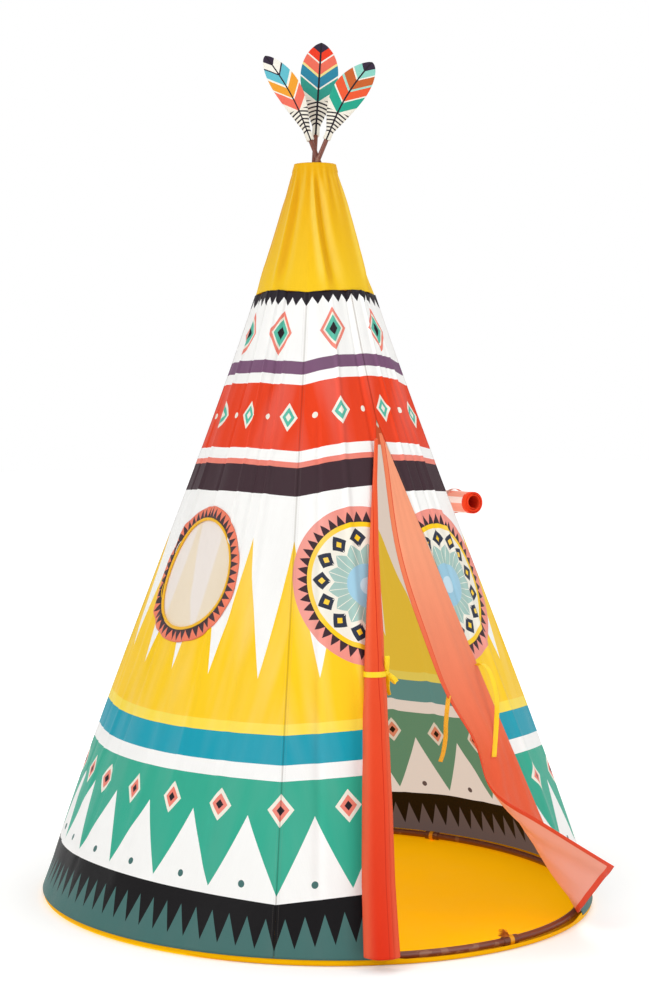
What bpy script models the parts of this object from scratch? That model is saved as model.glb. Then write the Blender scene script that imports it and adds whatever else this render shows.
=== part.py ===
"""Kids' teepee: a fabric cover on four bent poles, over a round ground sheet.

The origin is at the centre of the ground sheet's underside, +Z is up and the
door faces -Y. An angle round the tent is 0 at the door and grows towards +X.
The cover has four panels between seams at odd eighths of a turn, with a pole
under each seam. All sizes are in metres.
"""
import math
from math import asin, atan2, cos, exp, hypot, log, pi, radians, sin

import bmesh
import bpy
from mathutils import Matrix, Vector

# Shared clearances
GAP = 0.0003
OVERRUN = 0.01
TUBE_STEPS = 16
BAND_STEPS = 32
SHARP_ANGLE = radians(40)
MERGE_DISTANCE = 0.00001

# Ground sheet: an oval dish, longest along the door's axis
HEM_DOOR_RADIUS = 0.543
HEM_SIDE_RADIUS = 0.505
SHEET_THICKNESS = 0.0015
SHEET_LIP_HEIGHT = 0.015
SHEET_LIP_BEND = 0.006
SHEET_FLAT_SHARE = 0.5

# Cover
COVER_THICKNESS = 0.001
RIM_HEIGHT = 1.386
RIM_RADIUS = 0.039
CROWN_LENGTH = 0.25
CROWN_EDGE_RISE = 0.006
SEAM_FLARE = 0.165
FLARE_TURN_SHARE = 0.32
SQUARE_SHARE = 0.36
SEAM_GAP = 0.001
PANEL_SPAN = pi / 2
PANEL_COLUMNS = 16
PANEL_ROWS_LOW = 9
PANEL_ROWS_HIGH = 3
CROWN_ROWS = 3
SURFACE_STEP = 0.001

# Door: a tall triangle on the front seam line
DOOR_TOP_HEIGHT = 0.895
DOOR_HALF_WIDTH = 0.236
EDGE_PASSES = 6

# Windows and their screens
WINDOW_HEIGHT = 0.617
WINDOW_RADIUS = 0.104
WINDOW_ANGLES = {"left": radians(-93.5), "right": radians(79)}
BINDING_WIDTH = 0.026
BINDING_THICKNESS = 0.0016
SCREEN_LAP = 0.012
SCREEN_THICKNESS = 0.0006
SCREEN_RING_SHARES = (1, 0.75, 0.5, 0.25)
TRIM_GAP = 0.0005
WINDOW_SEGMENTS = 32

# Base hoop: three bent rods joined by sleeves
HOOP_RADIUS = 0.00635
HOOP_INSET = 0.019
HOOP_JOINT_ANGLES = (radians(2), radians(112), radians(237))
HOOP_STEP = radians(5)
HOOP_SLEEVE_LENGTH = 0.033
HOOP_SLEEVE_SLACK = 0.0008
HOOP_SLEEVE_WALL = 0.001
HOOP_TIE_WIDTH = 0.009
HOOP_TIE_THICKNESS = 0.0008
HOOP_TIES = ("hoop_tie_front", "hoop_tie_back")
TUFT_LENGTH = 0.018
TUFT_RADIUS = 0.004
TUFT_TIP_RADIUS = 0.0015
TUFT_SEGMENTS = 8

# Poles
POLE_RADIUS = 0.0045
POLE_CROSSING_RISE = 0.015
FRONT_POLE_ASIDE = -0.004
FRONT_POLE_SHORT = -0.020
RIGHT_POLE_ASIDE = -0.0002
RIGHT_POLE_SHORT = 0.004
BACK_POLE_ASIDE = -0.0058
BACK_POLE_SHORT = 0.0135
LEFT_POLE_ASIDE = 0.0096
LEFT_POLE_SHORT = -0.010
POLE_JOINT_HEIGHT = 0.45
POLE_SLEEVE_LENGTH = 0.05
POLE_SLEEVE_WALL = 0.0007
POLE_SLACK = 0.0004
POCKET_DEPTH = 0.035
POCKET_WALL = 0.0012
BAND_HEIGHT = 0.012
BAND_THICKNESS = 0.0012
BAND_DROP = 0.03
BOW_CHECKS = 40
LOWER_POINTS = 5
UPPER_POINTS = 8

# Feathers
FRONT_FEATHER_RISE = 0.061
FRONT_FEATHER_LENGTH = 0.215
FRONT_FEATHER_HALF_WIDTH = 0.037
FRONT_FEATHER_LEAN = 0.004
SIDE_FEATHER_RISE = 0.0466
LEFT_FEATHER_LENGTH = 0.158
LEFT_FEATHER_HALF_WIDTH = 0.032
LEFT_FEATHER_LEAN = 0.026
RIGHT_FEATHER_LENGTH = 0.176
RIGHT_FEATHER_HALF_WIDTH = 0.026
RIGHT_FEATHER_LEAN = 0.024
FEATHER_WIDEST_SHARE = 0.65
FEATHER_ROUND_SHARE = 0.6
FEATHER_THIN_SHARE = 0.5
FEATHER_TIP_SHARE = 0.999
FEATHER_THICKNESS = 0.003
FEATHER_POCKET_DEPTH = 0.045
FEATHER_POCKET_WALL = 0.001
FEATHER_FOOT_SHARE = 1.25
FEATHER_RINGS = 14
FEATHER_SIDES = 16
FEATHER_FACING = radians(-37.5)

# Rolled cover of the right window
ROLL_RADIUS = 0.0225
ROLL_LENGTH = 0.3
ROLL_LAP = 0.014
ROLL_LAYER = 0.0025
ROLL_SIDES = 24
ROLL_SEAM_ANGLE = radians(-45)
ROLL_TIE_WIDTH = 0.01
ROLL_TIE_THICKNESS = 0.0008
ROLL_TIE_OFFSET = 0.085

# Left door flap: rolled up along the door's edge and tied
LEFT_ROLL_TOP_DROP = 0.03
LEFT_ROLL_FOOT_HEIGHT = 0.022
LEFT_ROLL_TOP_RADIUS = 0.0035
LEFT_ROLL_FOOT_RADIUS = 0.0325
LEFT_ROLL_FLATNESS_SHARE = 0.72
LEFT_ROLL_SHIFT_LINEAR = -0.0462
LEFT_ROLL_SHIFT_SQUARE = 0.0632
LEFT_ROLL_LIFT = 0.0016
LEFT_ROLL_FLUTES = 5
LEFT_ROLL_FLUTE_SHARE = 0.16
LEFT_ROLL_TWIST = radians(70)
LEFT_ROLL_RINGS = 22
LEFT_ROLL_SIDES = 30
LEFT_TIE_HEIGHT = 0.47
LEFT_TIE_WIDTH = 0.0095
LEFT_TIE_THICKNESS = 0.0008
LEFT_TIE_PINCH_SHARE = 0.16
LEFT_TIE_PINCH_LENGTH = 0.04
BOW_WIDTH = 0.03
BOW_LENGTH = 0.075
BOW_THICKNESS = 0.004
BOW_OUTLINE_SHARES = (
    (0.10, 0.16), (0.45, 0.36), (0.85, 0.22), (1.00, 0.02), (0.70, -0.16), (0.30, -0.06),
    (0.42, -0.45), (0.62, -0.96), (0.24, -1.00), (0.04, -0.36), (-0.20, -0.84),
    (-0.56, -0.80), (-0.26, -0.08), (-0.70, -0.28), (-1.00, -0.10), (-0.90, 0.16),
    (-0.45, 0.30), (-0.10, 0.16),
)

# Right door flap: hung on the door's edge, its lower corner turned out
FLAP_EDGE_GAP = 0.0006
FLAP_HEM_LIFT = 0.004
FLAP_TOP_DROP = 0.02
FLAP_THICKNESS = 0.0012
FLAP_LAP = 0.028
FLAP_LAP_START = 0.006
FLAP_LAP_RISE = 0.07
FLAP_LAP_FALL = 0.30
FLAP_FOLD_HEIGHT = 0.40
FLAP_TURN = radians(88)
FLAP_TURN_LENGTH = 0.12
FLAP_RIPPLE = 0.006
FLAP_RIPPLES = 1.75
FLAP_RIPPLE_SLANT = 1.1
FLAP_COLUMNS = 16
FLAP_ROWS = 20

# Ribbons that hang free at the right flap
RIBBON_RADIUS = 0.002
OUTER_RIBBON_ROUTE = (
    (0.1117, -0.3340, 0.4547), (0.1167, -0.3479, 0.4577), (0.1152, -0.3682, 0.4455),
    (0.1156, -0.3812, 0.4181), (0.1163, -0.3855, 0.3898), (0.1130, -0.3867, 0.3472),
    (0.0863, -0.4103, 0.3013),
)
INNER_RIBBON_ROUTE = (
    (-0.0020, -0.3836, 0.3840), (-0.0040, -0.3838, 0.3650), (-0.0050, -0.3838, 0.3400),
    (-0.0050, -0.3836, 0.3150), (-0.0048, -0.3836, 0.2980),
)
RIBBON_STEP = 0.006

HEM_HEIGHT = SHEET_LIP_HEIGHT + GAP + COVER_THICKNESS / 2
CROWN_EDGE_HEIGHT = RIM_HEIGHT - CROWN_LENGTH
POLE_CROSSING_HEIGHT = RIM_HEIGHT + POLE_CROSSING_RISE
HOOP_BORE = HOOP_RADIUS + HOOP_SLEEVE_SLACK
HOOP_SLEEVE_RADIUS = HOOP_BORE + HOOP_SLEEVE_WALL
HOOP_TIE_RADIUS = HOOP_SLEEVE_RADIUS + GAP + HOOP_TIE_THICKNESS
HOOP_HEIGHT = SHEET_THICKNESS + GAP + HOOP_TIE_RADIUS
POLE_BORE = POLE_RADIUS + POLE_SLACK
POLE_SLEEVE_RADIUS = POLE_BORE + POLE_SLEEVE_WALL
POCKET_RADIUS = POLE_BORE + POCKET_WALL
FLAP_FOOT_HEIGHT = HEM_HEIGHT + FLAP_HEM_LIFT
ROLL_HEIGHT = WINDOW_HEIGHT + WINDOW_RADIUS + BINDING_WIDTH - ROLL_LAP


PARTS = "kids_teepee"
CUTTERS = "cutters"

# Colour, roughness and metallic value of each material
FINISHES = {
    "yellow cloth": ("F9AE00", 0.85, 0.0),
    "crown cloth": ("F5C21B", 0.85, 0.0),
    "printed cloth": ("F3F1EA", 0.85, 0.0),
    "red cloth": ("EF4A2C", 0.85, 0.0),
    "pink cloth": ("F08070", 0.85, 0.0),
    "screen cloth": ("D8C9B4", 0.9, 0.0),
    "yellow ribbon": ("FFE000", 0.5, 0.0),
    "orange thread": ("B35A12", 0.9, 0.0),
    "brown pole": ("7A3F30", 0.45, 0.0),
    "steel sleeve": ("8C8C8C", 0.35, 1.0),
    "black webbing": ("1E161A", 0.8, 0.0),
    "feather cloth": ("F2EFE8", 0.85, 0.0),
}


def linear(channel):
    """One sRGB channel, 0 to 1, as linear light."""
    return channel / 12.92 if channel <= 0.04045 else ((channel + 0.055) / 1.055) ** 2.4


def material(finish):
    """The Principled material of a finish, made once."""
    found = bpy.data.materials.get(finish)
    if found:
        return found
    code, roughness, metallic = FINISHES[finish]
    made = bpy.data.materials.new(finish)
    made.use_nodes = True
    shader = made.node_tree.nodes["Principled BSDF"]
    rgb = [linear(int(code[i:i + 2], 16) / 255) for i in (0, 2, 4)]
    shader.inputs["Base Color"].default_value = (*rgb, 1)
    shader.inputs["Roughness"].default_value = roughness
    shader.inputs["Metallic"].default_value = metallic
    made.diffuse_color = (*rgb, 1)
    return made


def add(name, data, finish, location=(0, 0, 0), rotation=None, parent=None):
    """A named sub-part in the tent's collection."""
    item = bpy.data.objects.new(name, data)
    bpy.data.collections[PARTS].objects.link(item)
    data.materials.append(material(finish))
    item.location = location
    if rotation:
        item.rotation_mode = "QUATERNION"
        item.rotation_quaternion = rotation
    item.parent = parent
    return item


def solidify(item, thickness, offset):
    """Thicken an open surface: offset 1 is outwards and -1 is inwards."""
    modifier = item.modifiers.new("Thickness", "SOLIDIFY")
    modifier.thickness = thickness
    modifier.offset = offset
    return modifier


def cutter_cylinder(name, radius, length, centre, axis):
    """A cylinder that a Boolean takes away."""
    shape = bmesh.new()
    bmesh.ops.create_cone(
        shape, cap_ends=True, segments=WINDOW_SEGMENTS, radius1=radius, radius2=radius, depth=length
    )
    mesh = bpy.data.meshes.new(name)
    shape.to_mesh(mesh)
    shape.free()
    item = bpy.data.objects.new(name, mesh)
    bpy.data.collections[CUTTERS].objects.link(item)
    item.matrix_world = Matrix.Translation(centre) @ axis.to_track_quat("Z", "Y").to_matrix().to_4x4()
    item.hide_render = True
    item.display_type = "WIRE"
    return item


def cut(item, cutter):
    """Take a cutter away from a sub-part."""
    modifier = item.modifiers.new("Cut", "BOOLEAN")
    modifier.operation = "DIFFERENCE"
    modifier.solver = "EXACT"
    modifier.object = cutter


def smooth(mesh):
    """Smooth shading with sharp edges kept."""
    mesh.shade_smooth()
    mesh.set_sharp_from_angle(angle=SHARP_ANGLE)


def loft(name, rings, closed=False, cap_first=False, cap_last=False, origin=(0, 0, 0)):
    """A skin over rows of points; closed joins each row's ends, and caps fill a row."""
    shape = bmesh.new()
    origin = Vector(origin)
    rows = [[shape.verts.new(point - origin) for point in ring] for ring in rings]
    count = len(rows[0])
    for low, high in zip(rows, rows[1:]):
        for j in range(count if closed else count - 1):
            k = (j + 1) % count
            shape.faces.new((low[j], low[k], high[k], high[j]))
    if cap_first:
        shape.faces.new(list(reversed(rows[0])))
    if cap_last:
        shape.faces.new(rows[-1])
    mesh = bpy.data.meshes.new(name)
    shape.to_mesh(mesh)
    shape.free()
    smooth(mesh)
    return mesh


def turned(name, outline, finish, steps, location=(0, 0, 0), axis=None):
    """A closed outline of (radius, height) points turned about Z, then placed along an axis."""
    shape = bmesh.new()
    points = [shape.verts.new((radius, 0, height)) for radius, height in outline]
    for first, second in zip(points, points[1:]):
        shape.edges.new((first, second))
    if outline[0][0] > 0:
        shape.edges.new((points[-1], points[0]))
    mesh = bpy.data.meshes.new(name)
    shape.to_mesh(mesh)
    shape.free()
    rotation = axis.to_track_quat("Z", "Y") if axis else None
    item = add(name, mesh, finish, location, rotation)
    screw = item.modifiers.new("Turn", "SCREW")
    screw.angle = 2 * pi
    screw.steps = steps
    screw.render_steps = steps
    screw.use_merge_vertices = True
    screw.merge_threshold = MERGE_DISTANCE
    screw.use_smooth_shade = True
    return item


def sleeve(name, inner, outer, length, finish, location, axis, steps=TUBE_STEPS):
    """A short open tube."""
    half = length / 2
    outline = ((outer, half), (outer, -half), (inner, -half), (inner, half))
    return turned(name, outline, finish, steps, location, axis)


def tube(name, points, radius, finish, origin=(0, 0, 0), parent=None):
    """A round rod or cord along a line of points."""
    curve = bpy.data.curves.new(name, "CURVE")
    curve.dimensions = "3D"
    curve.bevel_depth = radius
    curve.bevel_resolution = 2
    curve.use_fill_caps = True
    spline = curve.splines.new("POLY")
    spline.points.add(len(points) - 1)
    for target, point in zip(spline.points, points):
        target.co = (*(Vector(point) - Vector(origin)), 1)
    return add(name, curve, finish, origin, None, parent)


def around(radius, angle, height):
    """A point by its distance from the tent's axis, its angle and its height."""
    return Vector((radius * sin(angle), -radius * cos(angle), height))


def mix(start, end, share):
    """The value that lies a share of the way from start to end."""
    return start + (end - start) * share


def hem_radius(angle):
    """The oval outline of the hem and of the ground sheet's lip."""
    reach = hypot(HEM_SIDE_RADIUS * cos(angle), HEM_DOOR_RADIUS * sin(angle))
    return HEM_DOOR_RADIUS * HEM_SIDE_RADIUS / reach


def from_panel_middle(angle):
    """The angle from the middle of the panel that it falls in."""
    return angle - PANEL_SPAN * round(angle / PANEL_SPAN)


def cover_radius(angle, height):
    """The cover's outer face: a flared cone, drawn flatter between its seams."""
    share = (height - HEM_HEIGHT) / (RIM_HEIGHT - HEM_HEIGHT)
    cone = mix(hem_radius(angle), RIM_RADIUS, share)
    flare = SEAM_FLARE * share * (1 - share) * (FLARE_TURN_SHARE - share)
    squareness = SQUARE_SHARE * (1 - (1 - share) ** 4) * (1 - share ** 6)
    flatness = cos(PANEL_SPAN / 2) / cos(from_panel_middle(angle))
    return (cone + flare) * (1 - squareness * (1 - flatness))


def cover_frame(angle, height):
    """The direction along the cover, the one up its slope and its outward normal."""
    step = SURFACE_STEP
    turn = step / cover_radius(angle, height)
    along = around(cover_radius(angle + turn, height), angle + turn, height)
    along -= around(cover_radius(angle - turn, height), angle - turn, height)
    up = around(cover_radius(angle, height + step), angle, height + step)
    up -= around(cover_radius(angle, height - step), angle, height - step)
    normal = along.cross(up).normalized()
    return along.normalized(), up.normalized(), normal


def on_cover(angle, height, lift=0.0):
    """A point on the cover's outer face, or lifted off it."""
    point = around(cover_radius(angle, height), angle, height)
    return point + cover_frame(angle, height)[2] * lift if lift else point


def crown_edge(angle):
    """The height of the seam between the crown and the panels, lowest at the poles."""
    share = from_panel_middle(angle) / (PANEL_SPAN / 2)
    return CROWN_EDGE_HEIGHT + CROWN_EDGE_RISE * (1 - share * share)


def door_half_width(height):
    """Half of the door's width at a height."""
    return DOOR_HALF_WIDTH * (DOOR_TOP_HEIGHT - height) / (DOOR_TOP_HEIGHT - HEM_HEIGHT)


def angle_at_width(width, height):
    """The angle at which the cover is that far to the side of the door's middle."""
    angle = 0.0
    for _ in range(EDGE_PASSES):
        angle = asin(width / cover_radius(angle, height))
    return angle


def seam_line(seam_angle, side):
    """A panel's edge beside a seam, on the side that side names."""
    def edge(height):
        return seam_angle + side * SEAM_GAP / 2 / cover_radius(seam_angle, height)
    return edge


def door_line(side):
    """A front panel's edge: the door's side, then the short seam above the door."""
    def edge(height):
        width = max(door_half_width(height), 0) + SEAM_GAP / 2
        return side * angle_at_width(width, height)
    return edge


def panel(name, left_edge, right_edge, columns):
    """One panel of the cover between two edges, from the hem up to the crown."""
    rings = []
    for row in range(PANEL_ROWS_LOW + PANEL_ROWS_HIGH + 1):
        upper_share = (row - PANEL_ROWS_LOW) / PANEL_ROWS_HIGH
        if upper_share > 0:
            height = mix(DOOR_TOP_HEIGHT, CROWN_EDGE_HEIGHT, upper_share)
        else:
            height = mix(HEM_HEIGHT, DOOR_TOP_HEIGHT, row / PANEL_ROWS_LOW)
        ring = []
        for column in range(columns + 1):
            angle = mix(left_edge(height), right_edge(height), column / columns)
            level = height
            if upper_share > 0:
                level = mix(DOOR_TOP_HEIGHT, crown_edge(angle), upper_share)
            ring.append(on_cover(angle, level))
        rings.append(ring)
    item = add(name, loft(name, rings), "printed cloth")
    solidify(item, COVER_THICKNESS, -1)
    return item


def ground_sheet():
    """The oval floor, with an edge that turns up outside the hoop."""
    bend = SHEET_LIP_BEND
    profile = [(None, 0.0)]
    for turn in (0, pi / 6, pi / 3, pi / 2):
        profile.append((bend * (1 - sin(turn)), bend * (1 - cos(turn))))
    profile.append((0.0, SHEET_LIP_HEIGHT))
    angles = [2 * pi * i / (4 * PANEL_COLUMNS) for i in range(4 * PANEL_COLUMNS)]
    rings = []
    for inset, height in profile:
        if inset is None:
            rings.append([around(hem_radius(a) * SHEET_FLAT_SHARE, a, height) for a in angles])
        else:
            rings.append([around(hem_radius(a) - inset, a, height) for a in angles])
    item = add("ground_sheet", loft("ground_sheet", rings, closed=True, cap_first=True), "yellow cloth")
    solidify(item, SHEET_THICKNESS, -1)


def hoop_point(angle):
    """A point on the hoop's centre line."""
    return around(hem_radius(angle) - HOOP_INSET, angle, HOOP_HEIGHT)


def hoop_direction(angle):
    """The hoop's direction at an angle."""
    turn = SURFACE_STEP / HEM_DOOR_RADIUS
    return (hoop_point(angle + turn) - hoop_point(angle - turn)).normalized()


def hoop():
    """The rods, the sleeves that join them, and the ties of the front and back joints."""
    count = len(HOOP_JOINT_ANGLES)
    for i, start in enumerate(HOOP_JOINT_ANGLES):
        end = HOOP_JOINT_ANGLES[(i + 1) % count] + (2 * pi if i + 1 == count else 0)
        gap = GAP / HEM_SIDE_RADIUS
        straight = (HOOP_SLEEVE_LENGTH / 2 + HOOP_RADIUS) / HEM_SIDE_RADIUS
        steps = round((end - start) / HOOP_STEP)
        angles = [start + gap]
        angles += [mix(start + straight, end - straight, k / steps) for k in range(steps + 1)]
        angles.append(end - gap)
        tube(f"hoop_rod_{i + 1}", [hoop_point(a) for a in angles], HOOP_RADIUS, "brown pole")
        centre = hoop_point(start)
        axis = hoop_direction(start)
        sleeve(
            f"hoop_sleeve_{i + 1}", HOOP_BORE, HOOP_SLEEVE_RADIUS, HOOP_SLEEVE_LENGTH,
            "brown pole", centre, axis,
        )
        if i < len(HOOP_TIES):
            bore = HOOP_SLEEVE_RADIUS + GAP
            sleeve(HOOP_TIES[i], bore, HOOP_TIE_RADIUS, HOOP_TIE_WIDTH, "yellow ribbon", centre, axis)
        if i == 0:
            tuft(centre, axis)


def tuft(centre, axis):
    """The frayed end of the front tie, lying over the hoop beside it."""
    shape = bmesh.new()
    bmesh.ops.create_cone(
        shape, cap_ends=True, segments=TUFT_SEGMENTS,
        radius1=TUFT_RADIUS, radius2=TUFT_TIP_RADIUS, depth=TUFT_LENGTH,
    )
    mesh = bpy.data.meshes.new("hoop_tie_tuft")
    shape.to_mesh(mesh)
    shape.free()
    side = -axis
    above = Vector((0, 0, HOOP_SLEEVE_RADIUS + GAP + TUFT_RADIUS))
    beside = side * (HOOP_TIE_WIDTH / 2 + GAP + TUFT_LENGTH / 2)
    add("hoop_tie_tuft", mesh, "orange thread", centre + above + beside, side.to_track_quat("Z", "Y"))


def foot_radius():
    """How far from the axis the poles' feet stand, close inside the hoop."""
    seam = hem_radius(PANEL_SPAN / 2)
    return seam - HOOP_INSET - HOOP_RADIUS - GAP - POCKET_RADIUS


class Feather:
    """A feather's foot height and its sizes."""

    def __init__(self, rise, length, half_width, lean):
        self.foot = RIM_HEIGHT + rise
        self.length = length
        self.half_width = half_width
        self.lean = lean


class Pole:
    """A pole's centre line, which bows outwards and leans on past the tent's axis.

    At the crossing's height it lies aside of the axis, and short of it or past it.
    """

    def __init__(self, name, angle, aside, short, feather=None):
        self.name = name
        self.angle = angle
        self.aside = aside
        self.short = short
        self.feather = feather
        self.bow = self.largest_bow()

    def largest_bow(self):
        """The largest outward bow that keeps the pole inside the cover."""
        slope = foot_radius() / POLE_CROSSING_HEIGHT
        room = (POLE_RADIUS + COVER_THICKNESS + SEAM_GAP) * hypot(1, slope)
        bows = []
        for check in range(1, BOW_CHECKS):
            share = check / BOW_CHECKS
            height = share * POLE_CROSSING_HEIGHT
            if HEM_HEIGHT < height < CROWN_EDGE_HEIGHT:
                seam = cover_radius(self.angle, height)
                turn = atan2(self.aside * share, seam)
                limit = cover_radius(self.angle + turn, height) - room
                straight = mix(foot_radius(), self.short, share)
                bows.append((limit - straight) / (4 * share * (1 - share)))
        return min(bows)

    def point(self, height):
        """The centre line's point at a height."""
        share = height / POLE_CROSSING_HEIGHT
        radial = mix(foot_radius(), self.short, share) + 4 * self.bow * share * (1 - share)
        aside = Vector((cos(self.angle), sin(self.angle), 0)) * self.aside * share
        return around(radial, self.angle, height) + aside

    def direction(self, height):
        """The centre line's upward direction at a height."""
        step = SURFACE_STEP
        return (self.point(height + step) - self.point(height - step)).normalized()

    def line(self, low, high, count):
        """Evenly spaced points of the centre line."""
        return [self.point(mix(low, high, i / (count - 1))) for i in range(count)]


def stand_poles():
    """The four poles, one under each seam; the back one ends at the rim."""
    half = PANEL_SPAN / 2
    front = Feather(
        FRONT_FEATHER_RISE, FRONT_FEATHER_LENGTH, FRONT_FEATHER_HALF_WIDTH, FRONT_FEATHER_LEAN
    )
    left = Feather(SIDE_FEATHER_RISE, LEFT_FEATHER_LENGTH, LEFT_FEATHER_HALF_WIDTH, LEFT_FEATHER_LEAN)
    right = Feather(SIDE_FEATHER_RISE, RIGHT_FEATHER_LENGTH, RIGHT_FEATHER_HALF_WIDTH, RIGHT_FEATHER_LEAN)
    return (
        Pole("front", -half, FRONT_POLE_ASIDE, FRONT_POLE_SHORT, front),
        Pole("right", half, RIGHT_POLE_ASIDE, RIGHT_POLE_SHORT, right),
        Pole("back", 3 * half, BACK_POLE_ASIDE, BACK_POLE_SHORT),
        Pole("left", -3 * half, LEFT_POLE_ASIDE, LEFT_POLE_SHORT, left),
    )


def pole_pieces(pole):
    """A pole's two halves, the sleeve that joins them and the pocket of its foot."""
    name = pole.name
    joint = POLE_JOINT_HEIGHT
    foot = pole.direction(HEM_HEIGHT)
    tilt = foot.angle(Vector((0, 0, 1)))
    base = SHEET_THICKNESS + GAP + POCKET_WALL * cos(tilt) + POCKET_RADIUS * sin(tilt)
    top = RIM_HEIGHT
    if pole.feather:
        foot_height = pole.feather.foot
        top = foot_height + FEATHER_POCKET_DEPTH * pole.direction(foot_height).z
    tube(f"pole_lower_{name}", pole.line(base + GAP, joint - GAP, LOWER_POINTS), POLE_RADIUS, "brown pole")
    tube(f"pole_upper_{name}", pole.line(joint + GAP, top, UPPER_POINTS), POLE_RADIUS, "brown pole")
    sleeve(
        f"pole_sleeve_{name}", POLE_BORE, POLE_SLEEVE_RADIUS, POLE_SLEEVE_LENGTH,
        "steel sleeve", pole.point(joint), pole.direction(joint),
    )
    cup = (
        (0, 0), (POLE_BORE, 0), (POLE_BORE, POCKET_DEPTH), (POCKET_RADIUS, POCKET_DEPTH),
        (POCKET_RADIUS, -POCKET_WALL), (0, -POCKET_WALL),
    )
    turned(f"pole_pocket_{name}", cup, "black webbing", TUBE_STEPS, pole.point(base), foot)


def apex_band(poles):
    """The loop that holds the poles together inside the crown, round the widest of them."""
    low = RIM_HEIGHT - BAND_DROP
    places = [pole.point(low).xy for pole in poles]
    centre = sum(places, Vector((0, 0))) / len(places)
    slope = min(pole.direction(low).z for pole in poles)
    inner = max((place - centre).length for place in places) + POLE_RADIUS / slope + GAP
    outer = inner + BAND_THICKNESS
    place = Vector((centre.x, centre.y, low + BAND_HEIGHT / 2))
    sleeve("apex_band", inner, outer, BAND_HEIGHT, "black webbing", place, Vector((0, 0, 1)), BAND_STEPS)


def crown():
    """The top cone of the cover, open at its rim."""
    count = 4 * PANEL_COLUMNS
    angles = [PANEL_SPAN / 2 + 2 * pi * i / count for i in range(count)]
    rings = []
    for row in range(CROWN_ROWS + 1):
        share = row / CROWN_ROWS
        rings.append([on_cover(a, mix(crown_edge(a) + GAP, RIM_HEIGHT, share)) for a in angles])
    item = add("crown", loft("crown", rings, closed=True), "crown cloth")
    solidify(item, COVER_THICKNESS, -1)


def disc_on_cover(angle, height, radii, lift):
    """Rings of points on the cover round a centre, from the outside in."""
    along, up, _ = cover_frame(angle, height)
    radius = cover_radius(angle, height)
    rings = []
    for reach in radii:
        ring = []
        for i in range(WINDOW_SEGMENTS):
            turn = 2 * pi * i / WINDOW_SEGMENTS
            level = height + reach * sin(turn) * up.z
            side = angle + atan2(reach * cos(turn), radius)
            ring.append(on_cover(side, level, lift))
        rings.append(ring)
    return rings


def windows(panels):
    """Cut each window, bind its edge outside and back it with a see-through screen."""
    for side, angle in WINDOW_ANGLES.items():
        normal = cover_frame(angle, WINDOW_HEIGHT)[2]
        centre = on_cover(angle, WINDOW_HEIGHT)
        cutter = cutter_cylinder(f"window_cut_{side}", WINDOW_RADIUS, WINDOW_RADIUS, centre, normal)
        cut(panels[side], cutter)
        radii = (WINDOW_RADIUS + BINDING_WIDTH, WINDOW_RADIUS + BINDING_WIDTH / 2, WINDOW_RADIUS)
        name = f"window_binding_{side}"
        rings = disc_on_cover(angle, WINDOW_HEIGHT, radii, TRIM_GAP)
        solidify(add(name, loft(name, rings, closed=True), "yellow ribbon"), BINDING_THICKNESS, 1)
        reach = WINDOW_RADIUS + SCREEN_LAP
        radii = [reach * share for share in SCREEN_RING_SHARES]
        name = f"window_screen_{side}"
        rings = disc_on_cover(angle, WINDOW_HEIGHT, radii, -COVER_THICKNESS - TRIM_GAP)
        screen = add(name, loft(name, rings, closed=True, cap_last=True), "screen cloth")
        solidify(screen, SCREEN_THICKNESS, -1)


def window_roll():
    """The right window's cover, rolled up over the top of its binding and held by two ribbons."""
    angle = WINDOW_ANGLES["right"]
    centre = on_cover(angle, ROLL_HEIGHT, ROLL_RADIUS + BINDING_THICKNESS + 2 * TRIM_GAP)
    along = cover_frame(angle, ROLL_HEIGHT)[0]
    across = along.cross(Vector((0, 0, 1)))
    rings = []
    for end in (-1, 1):
        ring = []
        for i in range(ROLL_SIDES):
            turn = 2 * pi * i / ROLL_SIDES + ROLL_SEAM_ANGLE
            reach = ROLL_RADIUS - ROLL_LAYER * (1 - i / ROLL_SIDES)
            spoke = Vector((0, 0, 1)) * cos(turn) + across * sin(turn)
            ring.append(centre + along * end * ROLL_LENGTH / 2 + spoke * reach)
        rings.append(ring)
    mesh = loft("window_cover_roll", rings, closed=True, cap_first=True, cap_last=True, origin=centre)
    add("window_cover_roll", mesh, "pink cloth", centre)
    for name, end in (("window_cover_tie_front", -1), ("window_cover_tie_back", 1)):
        place = centre + along * end * ROLL_TIE_OFFSET
        bore = (ROLL_RADIUS + GAP) / cos(pi / WINDOW_SEGMENTS)
        sleeve(
            name, bore, bore + ROLL_TIE_THICKNESS, ROLL_TIE_WIDTH, "yellow ribbon", place, along,
            WINDOW_SEGMENTS,
        )


def left_roll_radius(height):
    """Half of the rolled flap's width: it grows downwards, drawn in at its tie."""
    share = (DOOR_TOP_HEIGHT - height) / DOOR_TOP_HEIGHT
    from_tie = (height - LEFT_TIE_HEIGHT) / LEFT_TIE_PINCH_LENGTH
    pinch = 1 - LEFT_TIE_PINCH_SHARE * exp(-from_tie * from_tie)
    return mix(LEFT_ROLL_TOP_RADIUS, LEFT_ROLL_FOOT_RADIUS, share) * pinch


def left_roll_frame(height):
    """The rolled flap's centre at a height, and its directions along and off the cover."""
    share = (DOOR_TOP_HEIGHT - height) / DOOR_TOP_HEIGHT
    shift = LEFT_ROLL_SHIFT_LINEAR * share + LEFT_ROLL_SHIFT_SQUARE * share * share
    angle = -angle_at_width(door_half_width(height), height)
    angle += shift / cover_radius(angle, height)
    normal = cover_frame(angle, height)[2]
    off = Vector((normal.x, normal.y, 0)).normalized()
    along = Vector((-off.y, off.x, 0))
    reach = left_roll_radius(height) * LEFT_ROLL_FLATNESS_SHARE + LEFT_ROLL_LIFT
    return on_cover(angle, height) + off * reach, along, off


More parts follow.
